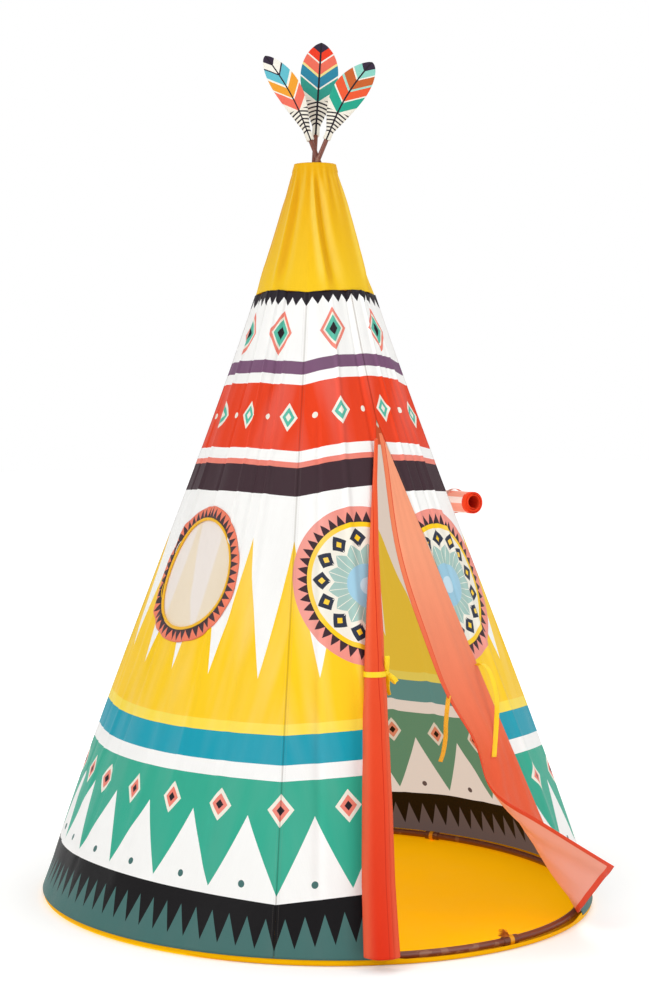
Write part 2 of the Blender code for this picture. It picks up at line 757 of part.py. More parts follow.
def left_roll_ring(height, grow, fluted):
    """One level section of the rolled flap, or of the tie round it."""
    centre, along, off = left_roll_frame(height)
    wide = left_roll_radius(height)
    share = (DOOR_TOP_HEIGHT - height) / DOOR_TOP_HEIGHT
    ring = []
    for i in range(LEFT_ROLL_SIDES):
        turn = 2 * pi * i / LEFT_ROLL_SIDES
        wave = cos(LEFT_ROLL_FLUTES * turn + LEFT_ROLL_TWIST * share * LEFT_ROLL_FLUTES)
        scale = 1 - LEFT_ROLL_FLUTE_SHARE * (1 + wave) / 2 if fluted else 1
        sideways = (wide * scale + grow) * cos(turn)
        outwards = (wide * scale * LEFT_ROLL_FLATNESS_SHARE + grow) * sin(turn)
        ring.append(centre + along * sideways + off * outwards)
    return ring


def left_flap():
    """The rolled left flap, the ribbon tied round it and the bow."""
    top = DOOR_TOP_HEIGHT - LEFT_ROLL_TOP_DROP
    count = LEFT_ROLL_RINGS
    half = LEFT_TIE_WIDTH / 2
    tie_levels = [LEFT_TIE_HEIGHT + half, LEFT_TIE_HEIGHT, LEFT_TIE_HEIGHT - half]
    levels = [mix(top, LEFT_ROLL_FOOT_HEIGHT, i / count) for i in range(count + 1)]
    levels = [level for level in levels if abs(level - LEFT_TIE_HEIGHT) > LEFT_TIE_WIDTH]
    levels = sorted(levels + tie_levels, reverse=True)
    rings = [left_roll_ring(level, 0, True) for level in levels]
    mesh = loft("door_flap_left_roll", rings, closed=True, cap_first=True, cap_last=True)
    add("door_flap_left_roll", mesh, "red cloth")
    rings = [left_roll_ring(level, GAP, False) for level in tie_levels]
    tie = add("door_flap_left_tie", loft("door_flap_left_tie", rings, closed=True), "yellow ribbon")
    solidify(tie, LEFT_TIE_THICKNESS, 1)
    bow_knot()


def bow_knot():
    """The tie's bow, a flat outline that hangs beside the roll."""
    curve = bpy.data.curves.new("door_flap_left_bow", "CURVE")
    curve.dimensions = "2D"
    curve.fill_mode = "BOTH"
    curve.extrude = BOW_THICKNESS / 2
    spline = curve.splines.new("POLY")
    spline.points.add(len(BOW_OUTLINE_SHARES) - 1)
    for target, (across, up) in zip(spline.points, BOW_OUTLINE_SHARES):
        target.co = (across * BOW_WIDTH / 2, up * BOW_LENGTH / 2, 0, 1)
    spline.use_cyclic_u = True
    clear = GAP + LEFT_TIE_THICKNESS + GAP
    knot = left_roll_side(LEFT_TIE_HEIGHT, clear)
    low = left_roll_side(LEFT_TIE_HEIGHT - BOW_LENGTH / 2, clear)
    up = (knot - low).normalized()
    along = left_roll_frame(LEFT_TIE_HEIGHT)[1]
    facing = (along - up * along.dot(up)).normalized()
    turn = Matrix((up.cross(facing), up, facing)).transposed().to_quaternion()
    add("door_flap_left_bow", curve, "yellow ribbon", knot + facing * BOW_THICKNESS / 2, turn)


def left_roll_side(height, clear):
    """A point beside the rolled flap, on the door's side."""
    centre, along, _ = left_roll_frame(height)
    return centre + along * (left_roll_radius(height) + clear)


def flap_edge_angle(height):
    """The angle of the right flap's sewn edge, just inside the door's edge."""
    width = door_half_width(height) - FLAP_EDGE_GAP + SEAM_GAP / 2
    return angle_at_width(width, height)


def smooth_share(share):
    """A share from 0 to 1, eased at both ends."""
    share = min(max(share, 0), 1)
    return share * share * (3 - 2 * share)


def flap_lap(height):
    """How far the right flap reaches past the door's middle above its turned corner."""
    rise = smooth_share((height - FLAP_FOLD_HEIGHT - FLAP_LAP_START) / FLAP_LAP_RISE)
    fall = smooth_share((DOOR_TOP_HEIGHT - height) / FLAP_LAP_FALL)
    return FLAP_LAP * rise * fall


def flap_axis():
    """The right flap's hinge line: its foot and its upward direction."""
    foot = on_cover(flap_edge_angle(FLAP_FOOT_HEIGHT), FLAP_FOOT_HEIGHT)
    high = DOOR_TOP_HEIGHT - FLAP_TOP_DROP
    return foot, (on_cover(flap_edge_angle(high), high) - foot).normalized()


def turn_corner(point, foot, fold, beyond, out):
    """Bend the flap's lower corner outwards about its fold line, like a page."""
    offset = point - foot
    past = offset.dot(beyond)
    if past <= 0:
        return point
    rate = FLAP_TURN / FLAP_TURN_LENGTH
    bent = min(past, FLAP_TURN_LENGTH)
    turn = rate * bent
    flat = past - bent
    forward = sin(turn) / rate + flat * cos(turn)
    outward = (1 - cos(turn)) / rate + flat * sin(turn)
    off = offset.dot(out)
    forward -= off * sin(turn)
    outward += off * cos(turn)
    return foot + fold * offset.dot(fold) + beyond * forward + out * outward


def right_flap():
    """The right flap: it hangs in the door's plane, its lower corner turned out."""
    foot, _ = flap_axis()
    fold_top = on_cover(0, FLAP_FOLD_HEIGHT)
    corner = on_cover(0, FLAP_FOOT_HEIGHT)
    fold = (fold_top - foot).normalized()
    beyond = corner - foot
    beyond = (beyond - fold * beyond.dot(fold)).normalized()
    out = beyond.cross(fold)
    if out.y > 0:
        out = -out
    high = DOOR_TOP_HEIGHT - FLAP_TOP_DROP
    rings = []
    for row in range(FLAP_ROWS + 1):
        level_share = row / FLAP_ROWS
        height = mix(FLAP_FOOT_HEIGHT, high, level_share)
        width_share = door_half_width(height) / DOOR_HALF_WIDTH
        ring = []
        for column in range(FLAP_COLUMNS + 1):
            share = column / FLAP_COLUMNS
            angle = mix(-angle_at_width(flap_lap(height), height), flap_edge_angle(height), share)
            phase = 2 * pi * (FLAP_RIPPLES * (1 - share) + FLAP_RIPPLE_SLANT * level_share)
            ripple = FLAP_RIPPLE * sin(phase) * (1 - share) * width_share
            ring.append(turn_corner(on_cover(angle, height, ripple), foot, fold, beyond, out))
        rings.append(ring)
    mesh = loft("door_flap_right", rings, origin=foot)
    flap = add("door_flap_right", mesh, "red cloth", foot)
    solidify(flap, FLAP_THICKNESS, -1)
    return flap


def smooth_route(route, spacing):
    """Points along a smooth curve through a cord's own points."""
    points = [Vector(p) for p in route]
    before = [points[0] * 2 - points[1]] + points[:-1]
    after = points[1:] + [points[-1] * 2 - points[-2]]
    line = []
    for i in range(len(points) - 1):
        start, end = points[i], points[i + 1]
        leave = (end - before[i]) / 2
        arrive = (after[i + 1] - start) / 2
        steps = max(1, math.ceil((end - start).length / spacing))
        for k in range(steps):
            t = k / steps
            hold = 2 * t ** 3 - 3 * t ** 2 + 1
            point = start * hold + end * (1 - hold)
            point += leave * (t ** 3 - 2 * t ** 2 + t) + arrive * (t ** 3 - t ** 2)
            line.append(point)
    line.append(points[-1])
    return line


def ribbons(flap):
    """The ribbon at the flap's sewn edge and the one at its free edge, which move with it."""
    foot, _ = flap_axis()
    for name, route in (("outer", OUTER_RIBBON_ROUTE), ("inner", INNER_RIBBON_ROUTE)):
        line = smooth_route(route, RIBBON_STEP)
        item = tube(f"door_ribbon_{name}", line, RIBBON_RADIUS, "yellow ribbon", foot, flap)
        item.location = (0, 0, 0)


def feather(pole):
    """A flat feather with a pocket in its quill for the top of a pole."""
    name = pole.name
    form = pole.feather
    foot = pole.point(form.foot)
    axis = pole.direction(form.foot + FEATHER_POCKET_DEPTH / 2)
    facing = around(1, FEATHER_FACING, 0)
    wide = axis.cross(facing).normalized() * -1
    thick = axis.cross(wide)
    lean = Vector((axis.x, axis.y, 0)).normalized()
    quill = (POLE_BORE + FEATHER_POCKET_WALL) * FEATHER_FOOT_SHARE
    pocket_share = FEATHER_POCKET_DEPTH / form.length
    swell = log(1 / 2) / log(FEATHER_WIDEST_SHARE)
    rings = []
    for row in range(FEATHER_RINGS + 1):
        share = row / FEATHER_RINGS
        past = max(0, share - pocket_share) / (1 - pocket_share)
        leaf = sin(pi * min(share ** swell, FEATHER_TIP_SHARE)) ** FEATHER_ROUND_SHARE
        half_width = form.half_width * leaf
        if share < FEATHER_WIDEST_SHARE:
            half_width = max(half_width, quill)
        half_thick = mix(quill, FEATHER_THICKNESS / 2, min(1, past / FEATHER_THIN_SHARE))
        centre = foot + axis * form.length * share + lean * form.lean * past * past
        ring = []
        for i in range(FEATHER_SIDES):
            turn = 2 * pi * i / FEATHER_SIDES
            ring.append(centre + wide * half_width * cos(turn) + thick * half_thick * sin(turn))
        rings.append(ring)
    mesh = loft(f"feather_{name}", rings, closed=True, cap_first=True, cap_last=True, origin=foot)
    item = add(f"feather_{name}", mesh, "feather cloth", foot)
    depth = FEATHER_POCKET_DEPTH + GAP
    middle = foot + axis * (depth - OVERRUN) / 2
    cut(item, cutter_cylinder(f"feather_cut_{name}", POLE_BORE, depth + OVERRUN, middle, axis))


def build():
    """Model the whole tent."""
    for item in list(bpy.data.objects):
        bpy.data.objects.remove(item, do_unlink=True)
    for name in (PARTS, CUTTERS):
        group = bpy.data.collections.new(name)
        bpy.context.scene.collection.children.link(group)
    poles = stand_poles()
    ground_sheet()
    hoop()
    for pole in poles:
        pole_pieces(pole)
        if pole.feather:
            feather(pole)
    apex_band(poles)
    crown()
    half = PANEL_SPAN / 2
    panel("panel_front_left", seam_line(-half, 1), door_line(-1), PANEL_COLUMNS // 2)
    panel("panel_front_right", door_line(1), seam_line(half, -1), PANEL_COLUMNS // 2)
    panel("panel_back", seam_line(3 * half, 1), seam_line(5 * half, -1), PANEL_COLUMNS)
    sides = {
        "left": panel("panel_left", seam_line(-3 * half, 1), seam_line(-half, -1), PANEL_COLUMNS),
        "right": panel("panel_right", seam_line(half, 1), seam_line(3 * half, -1), PANEL_COLUMNS),
    }
    windows(sides)
    window_roll()
    left_flap()
    ribbons(right_flap())


build()
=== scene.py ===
from math import atan2, cos, hypot, pi, radians, sin

import bpy
import numpy as np
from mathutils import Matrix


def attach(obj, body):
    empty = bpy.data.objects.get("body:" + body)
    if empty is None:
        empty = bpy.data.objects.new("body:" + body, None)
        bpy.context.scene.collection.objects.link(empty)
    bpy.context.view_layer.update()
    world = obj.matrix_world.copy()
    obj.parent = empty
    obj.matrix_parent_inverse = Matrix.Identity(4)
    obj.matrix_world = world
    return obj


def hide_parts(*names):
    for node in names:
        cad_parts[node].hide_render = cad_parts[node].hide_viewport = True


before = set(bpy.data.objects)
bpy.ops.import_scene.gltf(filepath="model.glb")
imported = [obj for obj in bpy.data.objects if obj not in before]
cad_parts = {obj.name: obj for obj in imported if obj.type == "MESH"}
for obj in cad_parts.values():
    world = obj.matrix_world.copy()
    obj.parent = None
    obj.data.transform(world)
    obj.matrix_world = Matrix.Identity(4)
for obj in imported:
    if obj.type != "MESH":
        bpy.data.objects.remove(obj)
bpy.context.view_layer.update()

# The outline of the tent, as in the part's source
GAP = 0.0003
TRIM_GAP = 0.0005
HEM_DOOR_RADIUS = 0.543
HEM_SIDE_RADIUS = 0.505
HEM_HEIGHT = 0.0158
LIP_HEIGHT = 0.015
RIM_HEIGHT = 1.386
RIM_RADIUS = 0.039
CROWN_EDGE_HEIGHT = 1.136
CROWN_EDGE_RISE = 0.006
SEAM_FLARE = 0.165
FLARE_TURN_SHARE = 0.32
SQUARE_SHARE = 0.36
PANEL_SPAN = pi / 2
DOOR_TOP_HEIGHT = 0.895
DOOR_HALF_WIDTH = 0.236
WINDOW_HEIGHT = 0.617
WINDOW_RADIUS = 0.104
WINDOW_ANGLES = {"left": radians(-93.5), "right": radians(79)}
RING_WIDTH = 0.026
RING_THICKNESS = 0.0016
ROLL_RADIUS = 0.0225
ROLL_LENGTH = 0.3
ROLL_HEIGHT = WINDOW_HEIGHT + WINDOW_RADIUS + RING_WIDTH - 0.014
HOOP_RADIUS = 0.00635
HOOP_INSET = 0.019
HOOP_HEIGHT = 0.01105
HOOP_JOINTS = (radians(2), radians(112), radians(237))
HOOP_SLEEVE_LENGTH = 0.033
HOOP_SLEEVE_RADIUS = 0.00815
HOOP_TIE_WIDTH = 0.009
HOOP_TIE_RADIUS = 0.0093
POLE_RADIUS = 0.0045
POLE_FOOT = 0.4912174
POLE_FOOT_HEIGHT = 0.012
POLE_JOINT_HEIGHTS = (0.4495, 0.4505)
POLE_CROSSING = 1.401
POLE_IN_POCKET = 0.043
# Angle, offset aside, offset short of the axis, bow and height of the feather's foot, for each pole
POLES = {
    "front": (-pi / 4, -0.004, -0.020, 0.0292674, 1.447),
    "right": (pi / 4, -0.0002, 0.004, 0.0140780, 1.4326),
    "back": (3 * pi / 4, -0.0058, 0.0135, 0.0037741, None),
    "left": (-3 * pi / 4, 0.0096, -0.010, 0.0216072, 1.4326),
}
# Length, half width and lean of each feather
FEATHERS = {"front": (0.215, 0.037, 0.004), "left": (0.158, 0.032, 0.026), "right": (0.176, 0.026, 0.024)}
FEATHER_POCKET = 0.045
FEATHER_POCKET_RADIUS = 0.0059
FEATHER_FOOT_SHARE = 1.25

# What the scene adds to that outline
COVER_THICKNESS = 0.001
SEAM_HALF_GAP = 0.0002
HEM_LAP = 0.0045
MEAN_RADIUS = 0.5
CROWN_MEAN_RADIUS = 0.1

# The camera's side of the tent, and the world's upright
FACING = radians(-37.5)
UP = np.array([0, 0, 1.0])


# Numbers over the tent's surface


def around(radius, angle, height):
    """Points at a distance from the tent's axis, at an angle and a height."""
    radius, angle, height = np.broadcast_arrays(radius, angle, height)
    return np.stack([radius * np.sin(angle), -radius * np.cos(angle), height], -1)


def mix(start, end, share):
    """What lies a share of the way from start to end."""
    return start + (end - start) * share


def unit(vectors):
    """Vectors brought to length 1."""
    return vectors / np.maximum(np.linalg.norm(vectors, axis=-1, keepdims=True), 1e-12)


def smooth_step(low, high, value):
    """0 below low, 1 above high and a smooth rise between: 3 s^2 - 2 s^3."""
    share = np.clip((value - low) / (high - low), 0, 1)
    return share * share * (3 - 2 * share)


def bump(value, centre, width):
    """A soft hump of height 1: exp(-((value - centre) / width)^2)."""
    return np.exp(-(((value - centre) / width) ** 2))


def pair(across, along):
    """A grid with two numbers at each point, such as a UV map."""
    return np.stack(np.broadcast_arrays(across, along), -1)


def turns_round(count, more=0):
    """Angles evenly spaced round a full turn, and as many past its end as more says."""
    return 2 * pi * np.arange(count + more) / count


def run_along(path):
    """The length of a path up to each of its points."""
    return np.concatenate([[0], np.cumsum(np.linalg.norm(np.diff(path, axis=0), axis=1))])


def hem_radius(angle):
    """The oval of the hem: an ellipse, longest towards the door."""
    reach = np.hypot(HEM_SIDE_RADIUS * np.cos(angle), HEM_DOOR_RADIUS * np.sin(angle))
    return HEM_DOOR_RADIUS * HEM_SIDE_RADIUS / reach


def from_middle(angle):
    """The angle from the middle of the panel that it falls in."""
    return angle - PANEL_SPAN * np.round(angle / PANEL_SPAN)


def cover_radius(angle, height):
    """A cone from the hem's oval to the rim, flared low down and flatter between its seams."""
    share = (height - HEM_HEIGHT) / (RIM_HEIGHT - HEM_HEIGHT)
    cone = mix(hem_radius(angle), RIM_RADIUS, share)
    flare = SEAM_FLARE * share * (1 - share) * (FLARE_TURN_SHARE - share)
    squareness = SQUARE_SHARE * (1 - (1 - share) ** 4) * (1 - share**6)
    flatness = cos(PANEL_SPAN / 2) / np.cos(from_middle(angle))
    return (cone + flare) * (1 - squareness * (1 - flatness))


def cover_point(angle, height):
    """The point of the smooth cover at an angle and a height."""
    return around(cover_radius(angle, height), angle, height)


def cover_frame(angle, height):
    """Unit directions along the cover, up its slope and out of it, from points 1 mm to each side."""
    step = 0.001
    turn = step / cover_radius(angle, height)
    along = unit(cover_point(angle + turn, height) - cover_point(angle - turn, height))
    up = unit(cover_point(angle, height + step) - cover_point(angle, height - step))
    return along, up, unit(np.cross(along, up))


def crown_edge(angle):
    """The height of the crown's seam: lowest at the poles, by a parabola."""
    share = from_middle(angle) / (PANEL_SPAN / 2)
    return CROWN_EDGE_HEIGHT + CROWN_EDGE_RISE * (1 - share * share)


def door_half_width(height):
    """Half of the door's width: a straight-sided triangle."""
    return DOOR_HALF_WIDTH * (DOOR_TOP_HEIGHT - height) / (DOOR_TOP_HEIGHT - HEM_HEIGHT)


def angle_at_width(width, height):
    """The angle at which the cover is that far beside the door's middle, by repeated arcsine."""
    angle = np.zeros(np.broadcast(width, height).shape)
    for _ in range(6):
        angle = np.arcsin(width / cover_radius(angle, height))
    return angle


# How far the print's bands dip in a panel's middle, by height: left and right of the door, and elsewhere
DIP_HEIGHTS = (0.09, 0.20, 0.35, 0.76, 0.89, 1.0, 1.13)
DOOR_LEFT_DIPS = (0.028, 0.015, 0.010, 0.020, 0.019, 0.018, 0.010)
DOOR_RIGHT_DIPS = (0.028, 0.015, 0.010, 0.006, 0.019, 0.018, 0.010)
OTHER_DIPS = (0.014, 0.004, -0.004, 0.006, 0.005, 0.005, 0.004)


def print_height(angle, height):
    """The print's own height: its bands bow between the seams, by a parabola."""
    from_seam = np.abs(from_middle(angle)) / (PANEL_SPAN / 2)
    left, right, other = (
        np.interp(height, DIP_HEIGHTS, dips) for dips in (DOOR_LEFT_DIPS, DOOR_RIGHT_DIPS, OTHER_DIPS)
    )
    dip = np.where(np.abs(angle) < PANEL_SPAN / 2, np.where(angle < 0, left, right), other)
    return height - dip * (1 - from_seam**2)


# Meshes


def surface(
    name, points, finishes, body="tent", maps=None, values=None, closed=False,
    caps=(), thickness=0.0, offset=-1.0, kept=None,
):
    """A grid of points as a mesh: rows run up, columns run along, and the outside is along x up.

    maps are UV grids and values are numbers for each point. A closed grid joins its last column
    to its first, and its UV grids have one column more. kept says which faces stay.
    """
    rows, columns = points.shape[:2]
    wide = columns if closed else columns - 1
    i, j = (part.ravel() for part in np.meshgrid(np.arange(rows - 1), np.arange(wide), indexing="ij"))
    if kept is not None:
        i, j = i[kept.ravel()], j[kept.ravel()]
    corners = np.stack([i, i, i + 1, i + 1], 1), np.stack([j, j + 1, j + 1, j], 1)
    for cap in caps:
        half = np.arange(columns // 2 - 1)
        side = np.stack([half, half + 1, columns - 2 - half, columns - 1 - half], 1)
        row = 0 if cap == "first" else rows - 1
        side = side[:, ::-1] if cap == "first" else side
        corners = np.vstack([corners[0], np.full_like(side, row)]), np.vstack([corners[1], side])
    index = corners[0] * columns + corners[1] % columns
    used, index = np.unique(index.ravel(), return_inverse=True)
    mesh = bpy.data.meshes.new(name)
    mesh.from_pydata(points.reshape(-1, 3)[used].tolist(), [], index.reshape(-1, 4).tolist())
    for label, chart in (maps or {}).items():
        at_corners = chart[corners[0].ravel(), corners[1].ravel()]
        mesh.uv_layers.new(name=label).data.foreach_set("uv", at_corners.ravel().astype(np.float32))
    for label, numbers in (values or {}).items():
        layer = mesh.attributes.new(label, "FLOAT", "POINT")
        layer.data.foreach_set("value", numbers.reshape(-1)[used].astype(np.float32))
    mesh.shade_smooth()
    finishes = finishes if isinstance(finishes, list) else [finishes]
    for finish in finishes:
        mesh.materials.append(finish.material)
    piece = bpy.data.objects.new(name, mesh)
    bpy.context.scene.collection.objects.link(piece)
    if thickness:
        solid = piece.modifiers.new("Thickness", "SOLIDIFY")
        solid.thickness = thickness
        solid.offset = offset
        solid.material_offset = len(finishes) - 1
        solid.use_quality_normals = True
    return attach(piece, body)


def path_frames(path, side=None):
    """Directions along a path and two across it; side fixes the first across."""
    ahead = unit(np.gradient(path, axis=0))
    if side is None:
        steep = np.abs(ahead @ UP)[:, None] > 0.9
        side = np.where(steep, np.array([1.0, 0, 0]), UP)
    side = unit(side - ahead * np.sum(ahead * side, -1, keepdims=True))
    return ahead, side, np.cross(ahead, side)


def tube(name, path, radius, finish, body="tent", sides=20, ends=0.3, side=None, flat=1.0):
    """A rod along a path: circles of a radius carried along it, drawn in at both ends by a share.

    flat below 1 presses the circle into an oval, as for a ribbon.
    """
    path = np.asarray(path, float)
    ahead, across, over = path_frames(path, side)
    small = radius * flat * ends
    first = path[0] + ahead[0] * small
    last = path[-1] - ahead[-1] * small
    path = np.vstack([path[:1], first, path[1:-1], last, path[-1:]])
    across, over = (np.vstack([part[:1], part, part[-1:]]) for part in (across, over))
    size = np.full(len(path), 1.0)
    size[[0, -1]] = 1 - ends
    turn = -turns_round(sides)
    ring = across[:, None] * np.cos(turn)[:, None] + over[:, None] * np.sin(turn)[:, None] * -flat
    points = path[:, None] + ring * radius * size[:, None, None]
    uv = pair(np.linspace(0, 2 * pi * radius, sides + 1)[None], run_along(path)[:, None])
    return surface(name, points, finish, body, {"cloth": uv}, closed=True, caps=("first", "last"))


# Tools for finishes


class Number:
    """A number that changes over a surface; sums with it add Math nodes."""

    def __init__(self, finish, socket):
        self.finish = finish
        self.socket = socket

    def math(self, operation, *others):
        return self.finish.math(operation, self, *others)

    def __add__(self, other):
        return self.math("ADD", other)

    __radd__ = __add__

    def __sub__(self, other):
        return self.math("SUBTRACT", other)

    def __rsub__(self, other):
        return self.finish.math("SUBTRACT", other, self)

    def __mul__(self, other):
        return self.math("MULTIPLY", other)

    __rmul__ = __mul__

    def __truediv__(self, other):
        return self.math("DIVIDE", other)

    def __pow__(self, other):
        return self.math("POWER", other)

    def __abs__(self):
        return self.math("ABSOLUTE")

    def __lt__(self, other):
        return self.math("LESS_THAN", other)

    def __gt__(self, other):
        return self.math("GREATER_THAN", other)

    def fract(self):
        return self.math("FRACT")

    def sin(self):
        return self.math("SINE")

    def least(self, other):
        return self.math("MINIMUM", other)

    def most(self, other):
        return self.math("MAXIMUM", other)

    def held(self, low, high):
        """Kept from going below low or above high."""
        return self.most(low).least(high)

    def cell(self, count):
        """Where it lies in its cell of 1 / count, from -0.5 to 0.5."""
        return (self * count).fract() - 0.5

    def between(self, low, high):
        return (self > low) * (self < high)


def linear(channel):
    """One sRGB channel, 0 to 1, as linear light."""
    return channel / 12.92 if channel <= 0.04045 else ((channel + 0.055) / 1.055) ** 2.4


def colour(code):
    """A colour from its six hexadecimal digits."""
    return (*(linear(int(code[i : i + 2], 16) / 255) for i in (0, 2, 4)), 1.0)


class Finish:
    """A material, with short ways to add nodes to it."""

    def __init__(self, name, **constants):
        self.material = bpy.data.materials.new(name)
        self.material.use_nodes = True
        self.tree = self.material.node_tree
        self.shader = self.tree.nodes["Principled BSDF"]
        for socket, value in constants.items():
            self.shader.inputs[socket.replace("_", " ")].default_value = value

    def put(self, value, socket):
        if isinstance(value, Number):
            value = value.socket
        if isinstance(value, bpy.types.NodeSocket):
            self.tree.links.new(value, socket)
        else:
            socket.default_value = value

    def node(self, kind, settings=None, inputs=None):
        """A node of a kind, with its settings and the values or links of its sockets."""
        made = self.tree.nodes.new(kind)
        for name, value in (settings or {}).items():
            setattr(made, name, value)
        for name, value in (inputs or {}).items():
            self.put(value, made.inputs[name])
        return made

    def math(self, operation, *values):
        made = self.node("ShaderNodeMath", {"operation": operation}, dict(enumerate(values)))
        return Number(self, made.outputs[0])

    def paint(self, under, mask, over):
        """One colour over another where the mask is 1."""
        made = self.node("ShaderNodeMix", {"data_type": "RGBA"}, {0: mask, 6: under, 7: over})
        return made.outputs[2]

    def tint(self, under, shade, share):
        """A colour multiplied by another, to a share."""
        settings = {"data_type": "RGBA", "blend_type": "MULTIPLY"}
        return self.node("ShaderNodeMix", settings, {0: share, 6: under, 7: shade}).outputs[2]

    def adjusted(self, tone, **changes):
        """A colour with another saturation or value."""
        return self.node("ShaderNodeHueSaturation", None, {"Color": tone, **changes}).outputs[0]

    def split(self, vector):
        made = self.node("ShaderNodeSeparateXYZ", None, {0: vector})
        return [Number(self, output) for output in made.outputs]

    def uv(self, label):
        return self.node("ShaderNodeUVMap", {"uv_map": label}).outputs[0]

    def value(self, label):
        """A number that the mesh carries at its points."""
        made = self.node("ShaderNodeAttribute", {"attribute_name": label})
        return Number(self, made.outputs["Fac"])

    def here(self):
        return self.node("ShaderNodeTexCoord").outputs["Object"]

    def scaled(self, place, scale):
        """A place scaled along each axis, which draws a pattern out along the smallest."""
        return self.node("ShaderNodeMapping", None, {"Vector": place, "Scale": scale}).outputs[0]

    def noise(self, place, scale, detail=3.0, rough=0.5):
        inputs = {"Vector": place, "Scale": scale, "Detail": detail, "Roughness": rough}
        return Number(self, self.node("ShaderNodeTexNoise", None, inputs).outputs["Fac"])

    def raised(self, height, distance, strength=1.0):
        """The surface's normal, bumped by a height."""
        inputs = {"Height": height, "Distance": distance, "Strength": strength}
        self.put(self.node("ShaderNodeBump", None, inputs).outputs[0], self.shader.inputs["Normal"])

    def colour(self, value):
        self.put(value, self.shader.inputs["Base Color"])

    def glow(self, value):
        self.put(value, self.shader.inputs["Emission Color"])

    def rough(self, value):
        self.put(value, self.shader.inputs["Roughness"])


# Cloth

THREAD_PITCH = 0.0008
RIB_PITCH = 0.0009


def weave(finish, place):
    """Plain weave: crossed sine threads, one over the other in turn."""
    x, y, _ = finish.split(place)
    across = (x * (2 * pi / THREAD_PITCH)).sin()
    along = (y * (2 * pi / THREAD_PITCH)).sin()
    return across * along * 0.5 + 0.5


def woven(finish, tone, place, slub=0.06, sheen=0.0):
    """Cloth's own look: threads, faint streaks in the colour and an uneven roughness.

    slub is how strong the streaks are, and sheen is how much painted light and shade the folds get: each
    fold's slope is painted lighter where it faces the light and darker where it faces away.
    """
    threads = weave(finish, place)
    streaks = finish.noise(finish.scaled(place, (60, 6, 1)), 6.0)
    cloud = finish.noise(finish.here(), 7.0)
    shade = (streaks - 0.5) * slub + (cloud - 0.5) * slub * 1.6 + (threads - 0.5) * 0.05
    if sheen:
        # Painted light and shade on folds: lighter on slopes facing the light, darker on slopes facing away.
        shade = shade + (finish.value("fold") * sheen).held(-0.22, 0.12)
    finish.colour(finish.adjusted(tone, Value=shade + 1.0))
    finish.rough(cloud * 0.35 + 0.30)
    crumple = finish.noise(finish.here(), 38.0, 4.0, 0.55)
    finish.raised(threads * 0.12 + crumple * 0.9, 0.0012, 0.55)


def plain_cloth(name, code):
    """Plain dyed cloth."""
    finish = Finish(name, Specular_IOR_Level=0.16)
    woven(finish, colour(code), finish.uv("cloth"))
    return finish


def ribbon_cloth(name, code):
    """Satin ribbon: fine cross ribs and a sheen."""
    finish = Finish(name, Specular_IOR_Level=0.5)
    length = finish.split(finish.uv("cloth"))[1]
    ribs = (length * (2 * pi / RIB_PITCH)).sin() * 0.5 + 0.5
    cloud = finish.noise(finish.here(), 60.0)
    finish.colour(finish.adjusted(colour(code), Value=(cloud - 0.5) * 0.14 + ribs * 0.05 + 0.98))
    finish.rough(cloud * 0.2 + 0.32)
    finish.raised(ribs * 0.3 + cloud, 0.0006, 0.5)
    return finish


# The cover's print: each ink outside, and inside, where daylight through the cloth shows it
INKS = {
    "white": ("FBFAF7", "D8CCC2"), "cream": ("F4EEDF", "CFC2B0"), "dark": ("231C24", "1C120E"),
    "purple": ("7B5474", "6E5560"), "red": ("E93F14", "C2502E"), "salmon": ("F08270", "CB7A5E"),
    "rose": ("F29688", "C48E7C"), "brown": ("3F2A31", "33211F"), "amber": ("FFCF18", "D6B43A"),
    "lemon": ("FFE04A", "D6C258"), "blue": ("0F9FB4", "588480"), "green": ("33AC90", "5A8266"),
    "black": ("0B080B", "150B07"), "slate": ("46706C", "5A4B48"), "sky": ("9CC9DE", "8FAAA8"),
    "navy": ("2E3446", "2A2A2E"), "mint": ("55BBA3", "62907C"), "mist": ("A5C6BD", "92A494"),
    "pale sky": ("C9E2EE", "B4C0BC"),
}

# Levels of the print, in metres up the cover
CROWN_TEETH_TOP = 1.1255
TOP_DIAMONDS_LEVEL = 1.058
PURPLE_BAND = (0.982, 1.006)
RED_BAND = (0.843, 0.963)
RED_DIAMONDS_LEVEL = 0.903
SALMON_LINE = (0.813, 0.823)
BROWN_BAND = (0.7625, 0.813)
ZIGZAG_FOOT = 0.45
LOW_BAND_TOPS = ((0.378, "lemon"), (0.360, "blue"), (0.312, "white"), (0.286, "green"))
GREEN_TEETH_FOOT = 0.106
LOW_DIAMONDS_LEVEL = 0.240
LOW_DOTS_LEVEL = 0.118
BLACK_TOP = 0.0935
HEM_TEETH_FOOT = 0.022

# Half width as a share of the pitch, half height and ink of nested diamonds
TOP_DIAMONDS = (
    (0.25, 0.043, "salmon"), (0.19, 0.033, "cream"), (0.155, 0.027, "mint"), (0.075, 0.013, "dark"),
)
RED_DIAMONDS = ((0.19, 0.026, "cream"), (0.13, 0.018, "mint"), (0.06, 0.008, "cream"))
LOW_DIAMONDS = ((0.20, 0.027, "cream"), (0.13, 0.018, "salmon"), (0.06, 0.008, "dark"))

# The medallion beside the door: its middle, how much flatter it is printed, and radii from its rim in
MEDALLION_ASIDE = 0.095
MEDALLION_LEVEL = 0.592
MEDALLION_SQUEEZE = 1.07
MEDALLION_RIM = 0.147
MEDALLION_TEETH = 0.118
MEDALLION_CREAM = 0.109
MEDALLION_DIAMONDS = 0.089
MEDALLION_STAR = 0.078
MEDALLION_RAYS = 0.076
MEDALLION_SKY = 0.041
MEDALLION_MIDDLE = 0.016

# The cover's seams
STITCH_INSET = 0.0045
STITCH_HALF_WIDTH = 0.0006
STITCHES_PER_METRE = 330
SEAM_SHADE_WIDTH = 0.0014


def ink(name, inside=False):
    """An ink of the print, as it shows outside or inside."""
    return colour(INKS[name][inside])


